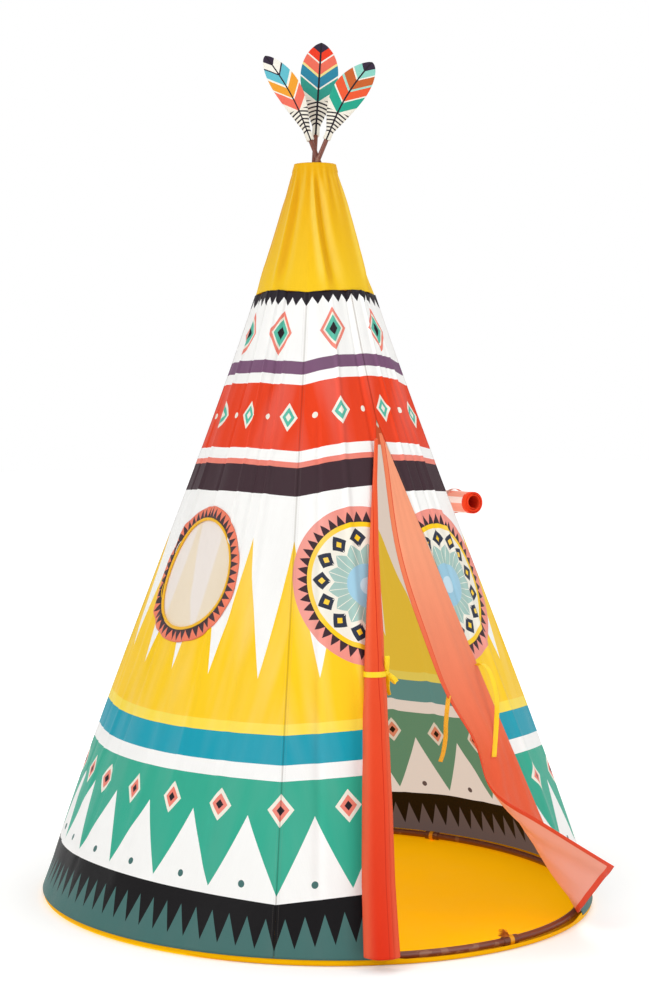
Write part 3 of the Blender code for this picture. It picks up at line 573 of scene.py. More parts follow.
def tooth(cell):
    """A tooth's height: 1 at the middle of its cell and 0 at both ends."""
    return 1 - abs(cell) * 2


def lozenge(cell, wide, height, middle, tall):
    """1 inside a diamond: where the shares of its half width and half height add up to less than 1."""
    return (abs(cell) / wide + abs(height - middle) / tall) < 1


class Print:
    """The cover's print while it is painted: where a point lies in it, and the colour so far.

    u counts panels round the tent, v is the print's height, and x and y are metres on the cloth.
    """

    def __init__(self, finish, inside):
        self.finish = finish
        self.inside = inside
        self.u, self.v, _ = finish.split(finish.uv("print"))
        self.x, self.y, _ = finish.split(finish.uv("cloth"))
        self.tone = ink("white", inside)

    def paint(self, mask, name):
        self.tone = self.finish.paint(self.tone, mask, ink(name, self.inside))

    def band(self, levels, name):
        self.paint(self.v.between(*levels), name)

    def diamonds(self, cell, level, nest):
        """Diamonds nested in each other, from the largest in."""
        for wide, tall, name in nest:
            self.paint(lozenge(cell, wide, self.v, level, tall), name)

    def dots(self, cell, pitch, level, radius, name):
        self.paint(((cell * pitch) ** 2 + (self.v - level) ** 2) < radius**2, name)


def upper_bands(art):
    """Teeth and nested diamonds under the crown, and the red band with its own diamonds."""
    art.paint(art.v > CROWN_TEETH_TOP - tooth(art.u.cell(9)) * 0.016, "dark")
    art.diamonds(art.u.cell(2), TOP_DIAMONDS_LEVEL, TOP_DIAMONDS)
    art.band(PURPLE_BAND, "purple")
    art.band(RED_BAND, "red")
    art.diamonds((art.u + 1 / 12).cell(3), RED_DIAMONDS_LEVEL, RED_DIAMONDS)
    art.dots((art.u + 1 / 4).cell(3), 0.105, RED_DIAMONDS_LEVEL, 0.0055, "cream")
    if not art.inside:
        art.band(SALMON_LINE, "salmon")
        art.band(BROWN_BAND, "brown")


def amber_zigzag(art):
    """Tall amber teeth; inside they lean."""
    if art.inside:
        lean = (art.u + 0.10).cell(5)
        teeth = ((lean + 0.5) * 1.25).least((0.5 - lean) * 5.0) * 0.26
    else:
        teeth = tooth(art.u.cell(5)) * 0.235
    art.paint(art.v < teeth + ZIGZAG_FOOT, "amber")


def medallion(art):
    """A round star in halves at the door's edges: a toothed ring, diamonds, rays and a disc."""
    side = abs(art.x) - MEDALLION_ASIDE
    up = (art.y - MEDALLION_LEVEL) * MEDALLION_SQUEEZE
    reach = (side**2 + up**2) ** 0.5
    turn = art.finish.math("ARCTAN2", up, side) / (2 * pi)
    front = abs(art.u) < 0.5
    teeth = (reach - MEDALLION_TEETH) / 0.02 < tooth(turn.cell(44))
    for mask, name in (
        (reach < MEDALLION_RIM, "rose"),
        ((reach > MEDALLION_TEETH) * teeth, "brown"),
        (reach < MEDALLION_TEETH, "amber"),
        (reach < MEDALLION_CREAM, "cream"),
        (lozenge(turn.cell(14), 0.42, reach, MEDALLION_DIAMONDS, 0.018), "navy"),
        (lozenge(turn.cell(14), 0.16, reach, MEDALLION_DIAMONDS, 0.007), "amber"),
        (reach < tooth(turn.cell(14)) * -0.014 + MEDALLION_STAR, "mist"),
        ((abs(turn.cell(28)) > 0.455) * (reach < MEDALLION_RAYS), "cream"),
        (reach < MEDALLION_SKY, "sky"),
        (reach < MEDALLION_MIDDLE, "pale sky"),
    ):
        art.paint(front * mask, name)


def lower_bands(art):
    """Plain bands, green teeth with diamonds and dots between them, and the toothed hem."""
    for top, name in LOW_BAND_TOPS:
        art.paint(art.v < top, name)
    art.paint(art.v < tooth(art.u.cell(6)) * 0.122 + GREEN_TEETH_FOOT, "white")
    art.diamonds((art.u + 1 / 12).cell(6), LOW_DIAMONDS_LEVEL, LOW_DIAMONDS)
    art.dots(art.u.cell(6), 0.13, LOW_DOTS_LEVEL, 0.006, "slate")
    art.paint(art.v < BLACK_TOP, "black")
    art.paint(art.v < tooth(art.u.cell(24)) * 0.048 + HEM_TEETH_FOOT, "slate")


def printed_cloth(name, through=0.0):
    """The cover's printed polyester; through is the strength of a painted glow that shows the print inside,
    standing for daylight through the cloth.
    """
    finish = Finish(name, Specular_IOR_Level=0.16, Emission_Strength=through)
    art = Print(finish, through > 0)
    upper_bands(art)
    amber_zigzag(art)
    medallion(art)
    lower_bands(art)
    tone = art.tone
    if through:
        # Painted light: inside, the print glows by emission for daylight through the cloth, and its base
        # colour is dimmed.
        finish.glow(tone)
        tone = finish.tint(tone, colour("8C8880"), 1.0)
    else:
        # Painted sheen: paler, less saturated patches stretched along the cloth, where light glances off it.
        sheen_patches = (finish.noise(finish.scaled(finish.uv("cloth"), (14, 2.5, 1)), 1.0, 2.0) - 0.45) * 1.4
        pale = finish.adjusted(tone, Saturation=0.72, Value=1.05)
        tone = finish.paint(tone, sheen_patches.held(0.0, 0.8), pale)
    seam = finish.value("edge")
    stitch = (art.v * STITCHES_PER_METRE).fract() < 0.62
    line = abs(seam - STITCH_INSET) < STITCH_HALF_WIDTH
    tone = finish.paint(tone, line * stitch * 0.14, colour("8A8078"))
    tone = finish.tint(tone, colour("A89C92"), (seam < SEAM_SHADE_WIDTH) * 0.3)
    # Only the outside gets the painted fold light and shade.
    woven(finish, tone, finish.uv("cloth"), sheen=0.0 if through else 0.17)
    return finish


# The other finishes

LIT_FLOOR_HEIGHT = 0.004
LIT_FLOOR_REACH_SQUARED = 0.262
NET_PITCH = 0.0016
NET_HOLE_HALF = 0.22
WEBBING_RIB = 0.0016
WEBBING_THREAD = 0.0022
ROLL_RED_END = 0.010


def crown_finish():
    """The crown's yellow cloth: deeper in colour towards the rim, with a painted highlight on fold slopes
    facing the light and painted shade on those facing away.
    """
    finish = Finish("crown cloth", Specular_IOR_Level=0.1)
    rise = ((finish.split(finish.uv("cloth"))[1] - 1.15) * 5.0).held(0.0, 1.0)
    fold = (finish.value("fold") * 1.7).held(-1.0, 1.0)
    tone = finish.paint(colour("F8C81E"), rise, colour("EFB20A"))
    # Painted highlight on fold slopes that face the light.
    tone = finish.paint(tone, fold.most(0.0) * 0.6, colour("FFDE60"))
    # Painted shade on fold slopes that face away from the light.
    tone = finish.paint(tone, (fold * -1.0).most(0.0) * 0.5, colour("DA9400"))
    woven(finish, tone, finish.uv("cloth"))
    return finish


def floor_cloth_finish():
    """The floor's coated cloth, with a painted glow inside the hoop for daylight through the cover."""
    finish = Finish("floor cloth", Specular_IOR_Level=0.04, Emission_Strength=0.46)
    x, y, z = finish.split(finish.here())
    woven(finish, colour("FFBC00"), finish.uv("cloth"), slub=0.05)
    inside = (z < LIT_FLOOR_HEIGHT) * ((x * x + y * y) < LIT_FLOOR_REACH_SQUARED)
    # Painted light: emission inside the hoop stands for daylight through the cover.
    finish.glow(finish.paint(colour("000000"), inside, colour("FCB600")))
    return finish


def pole_finish(name, code, dark):
    """Brown fibre rod: drawn lines along it, faint wear and a soft gloss."""
    finish = Finish(name, Coat_Weight=0.25, Coat_Roughness=0.25)
    grain = finish.noise(finish.scaled(finish.uv("cloth"), (900, 12, 1)), 1.0, 4.0)
    worn = finish.noise(finish.here(), 45.0)
    tone = finish.paint(colour(code), grain, colour(dark))
    finish.colour(finish.paint(tone, (worn > 0.62) * 0.35, colour("B98A6A")))
    finish.rough(worn * 0.3 + 0.25)
    finish.raised(grain, 0.0003, 0.4)
    return finish


def window_ring_finish():
    """Salmon ring cloth with dark teeth that stand on its inner edge."""
    finish = Finish("toothed ring cloth", Specular_IOR_Level=0.35)
    u, v, _ = finish.split(finish.uv("print"))
    tone = finish.paint(colour("EF7C5E"), (v * 1.25) > 1 - tooth(u.cell(48)) * 0.9, ink("brown"))
    tone = finish.paint(tone, v > 0.93, ink("brown"))
    woven(finish, tone, finish.uv("cloth"))
    return finish


def screen_net_finish():
    """See-through net: a fine mesh of threads, more solid than its holes."""
    finish = Finish("screen net", Roughness=0.8, Specular_IOR_Level=0.2)
    x, y, _ = finish.split(finish.uv("cloth"))
    across, along = (abs((way / NET_PITCH).fract() - 0.5) > NET_HOLE_HALF for way in (x, y))
    net = across.most(along)
    cloud = finish.noise(finish.here(), 9.0)
    finish.colour(finish.paint(colour("FAF6F3"), cloud, colour("EEE7E1")))
    finish.put(net * 0.14 + 0.55, finish.shader.inputs["Alpha"])
    return finish


def rolled_cover_finish():
    """Pink cloth with pale stripes along the roll and red ends, with a painted glow in its own colours that
    lifts the roll's shaded side.
    """
    finish = Finish("rolled cover cloth", Specular_IOR_Level=0.16, Emission_Strength=0.26)
    x, y, _ = finish.split(finish.uv("cloth"))
    tone = finish.paint(colour("F5A088"), y.cell(30) > 0.12, colour("FDE6DB"))
    tone = finish.paint(tone, abs(x) > ROLL_LENGTH / 2 - ROLL_RED_END, colour("EC4018"))
    # Painted light: the roll glows in its own colours to lift it out of shade.
    finish.glow(tone)
    woven(finish, tone, finish.uv("cloth"))
    return finish


def rolled_flap_finish():
    """Red cloth, paler upwards and where the roll catches the light, with a seam by its edges."""
    finish = Finish("rolled flap cloth", Specular_IOR_Level=0.12)
    hem = finish.value("edge")
    rise = (finish.split(finish.uv("cloth"))[1] * 1.5).least(1.0)
    tone = finish.paint(colour("E02E0E"), rise, colour("EF5A30"))
    tone = finish.paint(tone, finish.value("lit") * 0.42, colour("F7805A"))
    tone = finish.paint(tone, hem.between(0.008, 0.0093), colour("CF2C0E"))
    woven(finish, tone, finish.uv("cloth"))
    return finish


def hung_flap_finish():
    """Red cloth, paler upwards with painted light through its thin single layer, and darker at the doubled
    hem, with the hem's seam.
    """
    finish = Finish("right flap cloth", Specular_IOR_Level=0.2)
    hem = finish.value("edge")
    rise = ((finish.split(finish.uv("cloth"))[1] - 0.28) * 2.6).held(0.0, 1.0)
    # Painted light through the thin cloth: paler upwards, and darker where the hem doubles the cloth.
    tone = finish.paint(colour("EC6038"), rise, colour("FAA07A"))
    tone = finish.paint(tone, hem < 0.008, finish.paint(colour("E8401C"), rise, colour("F28258")))
    tone = finish.paint(tone, hem.between(0.008, 0.0095), colour("E2532F"))
    woven(finish, tone, finish.uv("cloth"))
    return finish


def hung_flap_reverse():
    """The flap's pink reverse, with its red hem."""
    finish = Finish("right flap reverse", Specular_IOR_Level=0.2)
    tone = finish.paint(colour("FFB3A0"), finish.value("edge") < 0.009, colour("EE5238"))
    woven(finish, tone, finish.uv("cloth"))
    return finish


def webbing_finish():
    """Black webbing: ribs across crossed threads."""
    finish = Finish("black webbing", Specular_IOR_Level=0.3)
    x, y, z = finish.split(finish.here())
    ribs = (z * (2 * pi / WEBBING_RIB)).sin() * ((x + y) * (2 * pi / WEBBING_THREAD)).sin()
    cloud = finish.noise(finish.here(), 80.0)
    finish.colour(finish.paint(colour("1E181B"), ribs * 0.3 + 0.3, colour("38302F")))
    finish.rough(cloud * 0.2 + 0.68)
    finish.raised(ribs, 0.0004, 0.6)
    return finish


def steel_finish():
    """Drawn steel: fine lines along the tube."""
    finish = Finish("drawn steel", Metallic=1.0)
    drawn = finish.noise(finish.scaled(finish.here(), (900, 900, 14)), 1.0)
    finish.colour(finish.paint(colour("8F9092"), drawn, colour("B9BABC")))
    finish.rough(drawn * 0.25 + 0.25)
    finish.raised(drawn, 0.0002, 0.3)
    return finish


# The inks of each feather's chevrons, from its foot up, and the heights at which they start
CHEVRON_STARTS = (0.34, 0.47, 0.49, 0.61, 0.64, 0.76, 0.78, 0.88)
FEATHER_COLOURS = {
    "front": ("2F9C8C", "F6F2E6", "2C86A4", "F2DF90", "F0705A", "F6F2E6", "EE3B1C", "33263A"),
    "left": ("22A58A", "F6F2E6", "EE5B33", "A8DCCB", "C8622C", "F6F2E6", "8FD3C4", "33263A"),
    "right": ("F0705A", "F6F2E6", "F0A02E", "F6F2E6", "62BCCB", "33263A", "F6F2E6", "33263A"),
}


def feather_finish(name):
    """Printed feather: barred pale foot, chevrons in the tent's colours, a dark spine."""
    finish = Finish(f"feather print, {name}", Specular_IOR_Level=0.2)
    u, v, _ = finish.split(finish.uv("print"))
    chevron = v - abs(u) * 0.16
    tone = ink("cream")
    for low, shade in zip(CHEVRON_STARTS, FEATHER_COLOURS[name]):
        tone = finish.paint(tone, chevron > low, colour(shade))
    bars = (v < 0.36) * (abs((v * 22 + abs(u) * 1.2).fract() - 0.5) < 0.2) * (v > 0.08)
    tone = finish.paint(tone, bars, ink("dark"))
    tone = finish.paint(tone, abs(u) < 0.05, ink("dark"))
    woven(finish, tone, finish.uv("cloth"))
    return finish


CLOTH_OUT = printed_cloth("printed cloth")
CLOTH_IN = printed_cloth("printed cloth, inside", 0.86)
FLAP_RED = plain_cloth("red flap cloth", "E63E1C")
FLAP_PINK = plain_cloth("pink reverse of the flap", "F3A090")
BINDING_YELLOW = ribbon_cloth("yellow binding", "F6B90C")
RIBBON_YELLOW = ribbon_cloth("yellow ribbon", "FFD800")
RIBBON_ORANGE = ribbon_cloth("orange ribbon", "F2A900")
RIBBON_SALMON = ribbon_cloth("salmon ribbon", "F2A58E")
ROD = pole_finish("brown rod", "904A32", "623022")
ROD_SLEEVE = pole_finish("brown sleeve", "86472F", "5A2C1E")


# Camera, solved from the photograph: its frame and its principal point in pixels

FRAME_WIDTH = 649
FRAME_HEIGHT = 1000
MIDDLE_COLUMN = 315
HORIZON_ROW = 400
LENS_PIXELS = 2012
FILM_SIZE = 36
DISTANCE = 3.85
EYE_HEIGHT = 0.936


def stand_camera():
    """The photograph's view: level, with the horizon shifted up in the frame."""
    data = bpy.data.cameras.new("camera")
    camera = bpy.data.objects.new("camera", data)
    bpy.context.scene.collection.objects.link(camera)
    bpy.context.scene.camera = camera
    camera.location = around(DISTANCE, FACING, EYE_HEIGHT)
    camera.rotation_euler = (pi / 2, 0, FACING)
    data.sensor_width = FILM_SIZE
    data.lens = FILM_SIZE * LENS_PIXELS / FRAME_HEIGHT
    data.shift_x = (FRAME_WIDTH / 2 - MIDDLE_COLUMN) / FRAME_HEIGHT
    data.shift_y = -(FRAME_HEIGHT / 2 - HORIZON_ROW) / FRAME_HEIGHT
    data.clip_start = 0.05
    data.clip_end = 60


# Cords: the ribbons that hang free at the right flap

OUTER_ROUTE = (
    (0.1117, -0.3340, 0.4547), (0.1167, -0.3479, 0.4577), (0.1152, -0.3682, 0.4455),
    (0.1156, -0.3812, 0.4181), (0.1163, -0.3855, 0.3898), (0.1130, -0.3867, 0.3472),
    (0.0863, -0.4103, 0.3013),
)
INNER_ROUTE = (
    (-0.0020, -0.3836, 0.3840), (-0.0040, -0.3838, 0.3650), (-0.0050, -0.3838, 0.3400),
    (-0.0080, -0.3812, 0.3150), (-0.0120, -0.3780, 0.2990),
)
# From behind the flap's free edge down to where the inner ribbon hangs free
INNER_SEWN_END = (
    (0.0165, -0.3685, 0.4120), (0.0100, -0.3738, 0.4050), (0.0015, -0.3814, 0.3940), INNER_ROUTE[0],
)
OUTER_WIDTH = 0.009
INNER_WIDTH = 0.008
RIBBON_FLATNESS = 0.09


def smooth_route(route, steps):
    """A smooth curve through points: cubic pieces whose slopes are their neighbours' chords."""
    route = np.array(route, float)
    before = np.vstack([2 * route[0] - route[1], route[:-1]])
    after = np.vstack([route[1:], 2 * route[-1] - route[-2]])
    slope = (after - before) / 2
    t = (np.arange(steps) / steps)[None, :, None]
    hold = 2 * t**3 - 3 * t**2 + 1
    line = route[:-1, None] * hold + route[1:, None] * (1 - hold)
    line = line + slope[:-1, None] * (t**3 - 2 * t**2 + t) + slope[1:, None] * (t**3 - t**2)
    return np.vstack([line.reshape(-1, 3), route[-1:]])


def flat_ribbon(name, path, width, finish, angle):
    """A pressed tube on the door flap; angle turns its broad side about the upright."""
    side = np.stack([np.cos(angle), np.sin(angle), 0 * angle], -1)
    return tube(name, path, width / 2, finish, "door_flap", 16, 0.2, side, RIBBON_FLATNESS)


def door_ribbons():
    """Two flat ribbons that twist by a sine, on the routes of their CAD solids, and a sewn end."""
    for name, route, width, finish, twist in (
        ("outer", OUTER_ROUTE, OUTER_WIDTH, RIBBON_YELLOW, 0.9),
        ("inner", INNER_ROUTE, INNER_WIDTH, RIBBON_ORANGE, -0.5),
    ):
        path = smooth_route(route, 8)
        run = run_along(path)
        angle = FACING + twist * np.sin(run / run[-1] * 5.0) * 0.5
        piece = flat_ribbon(f"ribbon_{name}", path, width, finish, angle)
        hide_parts(f"door_ribbon_{name}")
        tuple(route[0])
    path = smooth_route(INNER_SEWN_END, 6)
    angle = np.full(len(path), FACING)
    piece = flat_ribbon("ribbon_inner_sewn_end", path, INNER_WIDTH, RIBBON_ORANGE, angle)


# Stage

# Name, angle from the camera's, distance, height, size and power of each lamp
LAMPS = (
    ("key", -0.75, 3.2, 2.7, 2.0, 43), ("fill", 0.85, 3.4, 1.8, 2.2, 29), ("top", 2.6, 1.5, 3.4, 2.0, 17),
)
LAMP_AIM = np.array([0, 0, 0.7])
DAYLIGHT = 0.65
STUDIO_FLOOR_SIZE = 40
STUDIO_FLOOR_HEIGHT = -0.0005


def studio_floor():
    """A pale floor that shows white away from the tent and keeps its shadow."""
    finish = Finish("studio floor", Roughness=0.9, Specular_IOR_Level=0.1)
    finish.shader.inputs["Base Color"].default_value = colour("F2F2F2")
    rays = finish.node("ShaderNodeLightPath")
    camera_ray = Number(finish, rays.outputs["Is Camera Ray"])
    glossy_ray = Number(finish, rays.outputs["Is Glossy Ray"])
    x, y, _ = finish.split(finish.here())
    far = ((x * x + y * y) ** 0.5 - 0.6).held(0.0, 1.0)
    level = finish.paint((0.26, 0.25, 0.24, 1), far, (0.56, 0.56, 0.56, 1))
    glow = finish.node("ShaderNodeEmission", None, {"Color": level, "Strength": 1.0})
    none = finish.node("ShaderNodeEmission", None, {"Color": (0, 0, 0, 1), "Strength": 0.0})
    seen = camera_ray.most(glossy_ray)
    pick = finish.node("ShaderNodeMixShader", None, {0: seen, 1: none.outputs[0], 2: glow.outputs[0]})
    total = finish.node("ShaderNodeAddShader", None, {0: finish.shader.outputs[0], 1: pick.outputs[0]})
    finish.put(total.outputs[0], finish.tree.nodes["Material Output"].inputs["Surface"])
    bpy.ops.mesh.primitive_plane_add(size=STUDIO_FLOOR_SIZE, location=(0, 0, STUDIO_FLOOR_HEIGHT))
    ground = bpy.context.object
    ground.name = "studio_floor"
    ground.data.materials.append(finish.material)


def studio_world():
    """Even daylight, and plain white where the camera sees past the floor."""
    world = bpy.data.worlds.new("studio")
    bpy.context.scene.world = world
    world.use_nodes = True
    tree = world.node_tree
    light = tree.nodes["Background"]
    white = tree.nodes.new("ShaderNodeBackground")
    for node, strength in ((light, DAYLIGHT), (white, 1.0)):
        node.inputs["Color"].default_value = (1, 1, 1, 1)
        node.inputs["Strength"].default_value = strength
    rays = tree.nodes.new("ShaderNodeLightPath")
    pick = tree.nodes.new("ShaderNodeMixShader")
    tree.links.new(rays.outputs["Is Camera Ray"], pick.inputs[0])
    tree.links.new(light.outputs[0], pick.inputs[1])
    tree.links.new(white.outputs[0], pick.inputs[2])
    tree.links.new(pick.outputs[0], tree.nodes["World Output"].inputs["Surface"])


def lamps():
    """Soft square lamps, aimed at the tent's middle."""
    for name, turn, distance, height, size, power in LAMPS:
        data = bpy.data.lights.new(name, "AREA")
        data.size = size
        data.energy = power
        lamp = bpy.data.objects.new(name, data)
        bpy.context.scene.collection.objects.link(lamp)
        place = around(distance, FACING + turn, height)
        lamp.location = place
        aim = LAMP_AIM - place
        lamp.rotation_euler = (atan2(hypot(aim[0], aim[1]), -aim[2]), 0, atan2(aim[1], aim[0]) - pi / 2)


def stage():
    """The floor, the surround and the lamps."""
    studio_floor()
    studio_world()
    lamps()
    bpy.context.scene.view_settings.view_transform = "Standard"


# Cover

# Size, turns round the tent, rise and phase of the waves in the slack cloth
WAVES = ((1.0, 7, 5.0, 0.6), (0.6, 13, -7.5, 2.1), (0.5, 19, 3.2, 4.0), (0.4, 4, 16, 1.0))
WAVE_HEIGHT = 0.0016
# Place and lean across the panel, width as a share of its half, depth, and where each crease starts and ends
CREASES = (
    (-0.52, 0.10, 0.034, 0.0045, 0.05, 0.85), (0.30, -0.06, 0.030, 0.0036, 0.10, 0.98),
    (0.66, 0.05, 0.034, 0.0042, 0.02, 0.80), (-0.12, 0.04, 0.026, -0.0030, 0.25, 0.98),
    (-0.80, 0.04, 0.024, -0.0028, 0.0, 0.7), (0.48, 0.03, 0.022, -0.0026, 0.3, 0.98),
    (0.05, -0.10, 0.045, 0.0030, 0.0, 0.55), (-0.33, -0.05, 0.028, -0.0030, 0.0, 0.45),
)
CREASE_FADE = 0.12
SEAM_RIDGE = 0.0012
PANEL_ROWS = 230
WINDOW_PULL = 0.0035


def cover_folds(angle, height):
    """How far the cloth stands off the smooth cover, in metres.

    Waves fade out at the seams, soft creases run up each panel, and a seam stands proud.
    """
    share = np.clip((height - HEM_HEIGHT) / (RIM_HEIGHT - HEM_HEIGHT), 0, 1)
    off = from_middle(angle) / (PANEL_SPAN / 2)
    slack = smooth_step(0.0, 0.25, 1 - np.abs(off))
    slack = slack * smooth_step(0, 0.05, share) * smooth_step(0, 0.10, 1 - share)
    waves = sum(size * np.sin(turns * angle + rise * height + phase) for size, turns, rise, phase in WAVES)
    folds = slack * waves * WAVE_HEIGHT
    for place, lean, width, depth, low, high in CREASES:
        middle = place + lean * (share - 0.5)
        run = smooth_step(low, low + CREASE_FADE, share) * (1 - smooth_step(high - CREASE_FADE, high, share))
        folds += depth * bump(off, middle, width) * run
    return folds + SEAM_RIDGE * bump(np.abs(off), 1.0, 0.012) * smooth_step(0, 0.03, share)


def pull_to_window(angle, height, window):
    """Points near a window's rim moved onto it, and how far each point is from its centre."""
    radius = cover_radius(window, WINDOW_HEIGHT)
    slope = cover_frame(np.array(window), np.array(WINDOW_HEIGHT))[1][2]
    side = (angle - window) * radius
    up = (height - WINDOW_HEIGHT) / slope
    reach = np.hypot(side, up)
    near = np.abs(reach - WINDOW_RADIUS) < WINDOW_PULL
    scale = np.where(near, WINDOW_RADIUS / np.maximum(reach, 1e-6), 1)
    return window + side * scale / radius, WINDOW_HEIGHT + up * scale * slope, reach * scale


def panel(name, left_edge, right_edge, columns=100, window=None):
    """One panel: the smooth cover moved out by its folds, between two edges."""
    level = np.linspace(0, 1, PANEL_ROWS)[:, None]
    turn = np.linspace(0, 1, columns)[None, :]
    foot = HEM_HEIGHT - HEM_LAP
    height = mix(foot, CROWN_EDGE_HEIGHT, level) + 0 * turn
    left, right = left_edge(height), right_edge(height)
    angle = mix(left, right, turn)
    height = mix(foot, crown_edge(angle), level)
    kept = None
    if window is not None:
        angle, height, reach = pull_to_window(angle, height, window)
        hole = reach < WINDOW_RADIUS + 1e-5
        kept = ~(hole[:-1, :-1] & hole[1:, :-1] & hole[:-1, 1:] & hole[1:, 1:])
    radius = cover_radius(angle, height)
    push = cover_folds(angle, height)
    points = around(radius, angle, height) + cover_frame(angle, height)[2] * push[..., None]
    metre = from_middle(angle) * radius
    slant = print_height(angle, height)
    edge = np.minimum(np.abs(angle - left), np.abs(right - angle)) * radius
    fold = np.gradient(push, axis=1) / np.maximum(np.gradient(metre, axis=1), 1e-5)
    piece = surface(
        name.replace("panel", "cover"), points, [CLOTH_OUT, CLOTH_IN],
        maps={"print": pair(angle / PANEL_SPAN, slant), "cloth": pair(metre, slant)},
        values={"edge": edge, "fold": fold}, thickness=COVER_THICKNESS, kept=kept,
    )
    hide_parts(name)
    width = float(np.ptp(metre[0]))
    tall = float(run_along(points[:, columns // 2])[-1])
    corner = points[:-1, :-1]
    cells = np.cross(points[1:, :-1] - corner, points[:-1, 1:] - corner)


def seam_line(seam, side):
    """A panel's edge beside a seam."""
    return lambda height: seam + side * SEAM_HALF_GAP / cover_radius(np.array(seam), height)


def door_line(side):
    """A front panel's edge: the door's side, then the short seam above the door."""
    return lambda height: side * angle_at_width(np.maximum(door_half_width(height), 0) + GAP, height)


def cover():
    """The five panels."""
    half = PANEL_SPAN / 2
    panel("panel_front_left", seam_line(-half, 1), door_line(-1), 60)
    panel("panel_front_right", door_line(1), seam_line(half, -1), 60)
    panel("panel_back", seam_line(3 * half, 1), seam_line(5 * half, -1))
    panel("panel_left", seam_line(-3 * half, 1), seam_line(-half, -1), 130, WINDOW_ANGLES["left"])
    panel("panel_right", seam_line(half, 1), seam_line(3 * half, -1), 130, WINDOW_ANGLES["right"])


# Angle in degrees at the seam and at the rim, depth, and half width in degrees of the crown's creases
CROWN_CREASES = (
    (-19.5, -38, 0.0060, 5.0), (-83, -76, 0.0035, 5.5), (34, 46, 0.0045, 5.0),
    (100, 90, 0.0040, 6.0), (165, 148, 0.0050, 5.0), (228, 218, 0.0040, 5.0),
)
CROWN_HEM = 0.0012


def crown_folds(angle, level):
    """How far the crown stands off the smooth cover: fine waves, deep creases and a hem at the rim."""
    push = 0.0011 * np.sin(9 * angle + 2.0 + 3 * level) * level * (1 - 0.5 * level)
    push += 0.0006 * np.sin(14 * angle + 1.0 - 4 * level) * level
    push += 0.0005 * np.sin(23 * angle + 6 * level) * smooth_step(0.5, 1, level)
    run = smooth_step(0, 0.2, level) * (1 - smooth_step(0.65, 0.98, level)) + 0.35 * (1 - level)
    for low, high, depth, wide in CROWN_CREASES:
        middle = mix(radians(low), radians(high), level)
        wide = radians(wide)
        ridge = bump(angle, middle - wide, wide)
        hollow = bump(angle, middle + 1.2 * wide, 1.4 * wide)
        push += depth * (ridge - 0.9 * hollow) * run
    return push * (1 - 0.85 * smooth_step(0.86, 1, level)) + CROWN_HEM * smooth_step(0.93, 0.945, level)


def crown():
    """The top cone: the smooth cover with deeper creases that run up to the rim."""
    columns, rows = 240, 90
    level = np.linspace(0, 1, rows)[:, None]
    angle = (turns_round(columns) - 3 * PANEL_SPAN / 2)[None, :] + 0 * level
    height = mix(crown_edge(angle) + GAP, RIM_HEIGHT, level)
    push = crown_folds(angle, level)
    points = cover_point(angle, height) + cover_frame(angle, height)[2] * push[..., None]
    fold = np.gradient(push, axis=1) / (cover_radius(angle, height) * 2 * pi / columns)
    metre = turns_round(columns, 1)[None, :] * CROWN_MEAN_RADIUS
    piece = surface(
        "crown_cloth", points, [crown_finish(), plain_cloth("crown cloth, inside", "E8B530")],
        maps={"cloth": pair(metre, height[:, :1])}, values={"fold": fold}, closed=True,
        thickness=COVER_THICKNESS,
    )
    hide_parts("crown")
    around_rows = np.linalg.norm(np.diff(points, axis=1, append=points[:, :1]), axis=2).sum(1)
    slant = float(np.linalg.norm(points[-1, 0] - points[0, 0]))


# Floor and hoop

FLOOR_THICKNESS = 0.0015
FLOOR_INSETS = (0.5, 0.42, 0.34, 0.26, 0.18, 0.10, 0.05, 0.025)
LIP_BEND = 0.006
LIP_TOP_HEIGHTS = (0.010, LIP_HEIGHT)
LIP_TOP_INSETS = (0.0, -0.0002)
DOOR_SILL_SINK = 0.0062
DOOR_SILL_ANGLES = (radians(20), radians(26))
ROD_END_ANGLE = 0.001
# The joints that carry a tie, in the order of HOOP_JOINTS
HOOP_TIES = ("front", "back")


def floor_cloth():
    """The oval floor with its edge turned up: a profile carried round the hem's oval.

    The edge is sunk in the doorway.
    """
    bend = np.linspace(0, pi / 2, 9)
    inset = np.concatenate([FLOOR_INSETS, LIP_BEND * (1 - np.sin(bend)), LIP_TOP_INSETS])
    height = np.concatenate([np.zeros(len(FLOOR_INSETS)), LIP_BEND * (1 - np.cos(bend)), LIP_TOP_HEIGHTS])
    run = run_along(np.stack([inset, height], -1))
    inset, height = inset[:, None], height[:, None]
    columns = 256
    angle = turns_round(columns)[None, :]
    radius = hem_radius(angle) - inset * (hem_radius(angle) / HEM_DOOR_RADIUS)
    from_door = np.abs(np.arctan2(np.sin(angle), np.cos(angle)))
    sunk = DOOR_SILL_SINK * (1 - smooth_step(*DOOR_SILL_ANGLES, from_door))
    level = height - np.minimum(sunk, np.maximum(height - LIP_BEND, 0)) * (height / LIP_HEIGHT)
    uv = pair(turns_round(columns, 1)[None] * MEAN_RADIUS, run[:, None])
    piece = surface(
        "floor_cloth", around(radius, angle, level), floor_cloth_finish(), maps={"cloth": uv}, closed=True,
        caps=("first",), thickness=FLOOR_THICKNESS,
    )
    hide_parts("ground_sheet")


def hoop_path(start, end, count):
    """Points on the hoop's centre line, between two angles."""
    angle = np.linspace(start, end, count)
    return around(hem_radius(angle) - HOOP_INSET, angle, HOOP_HEIGHT)


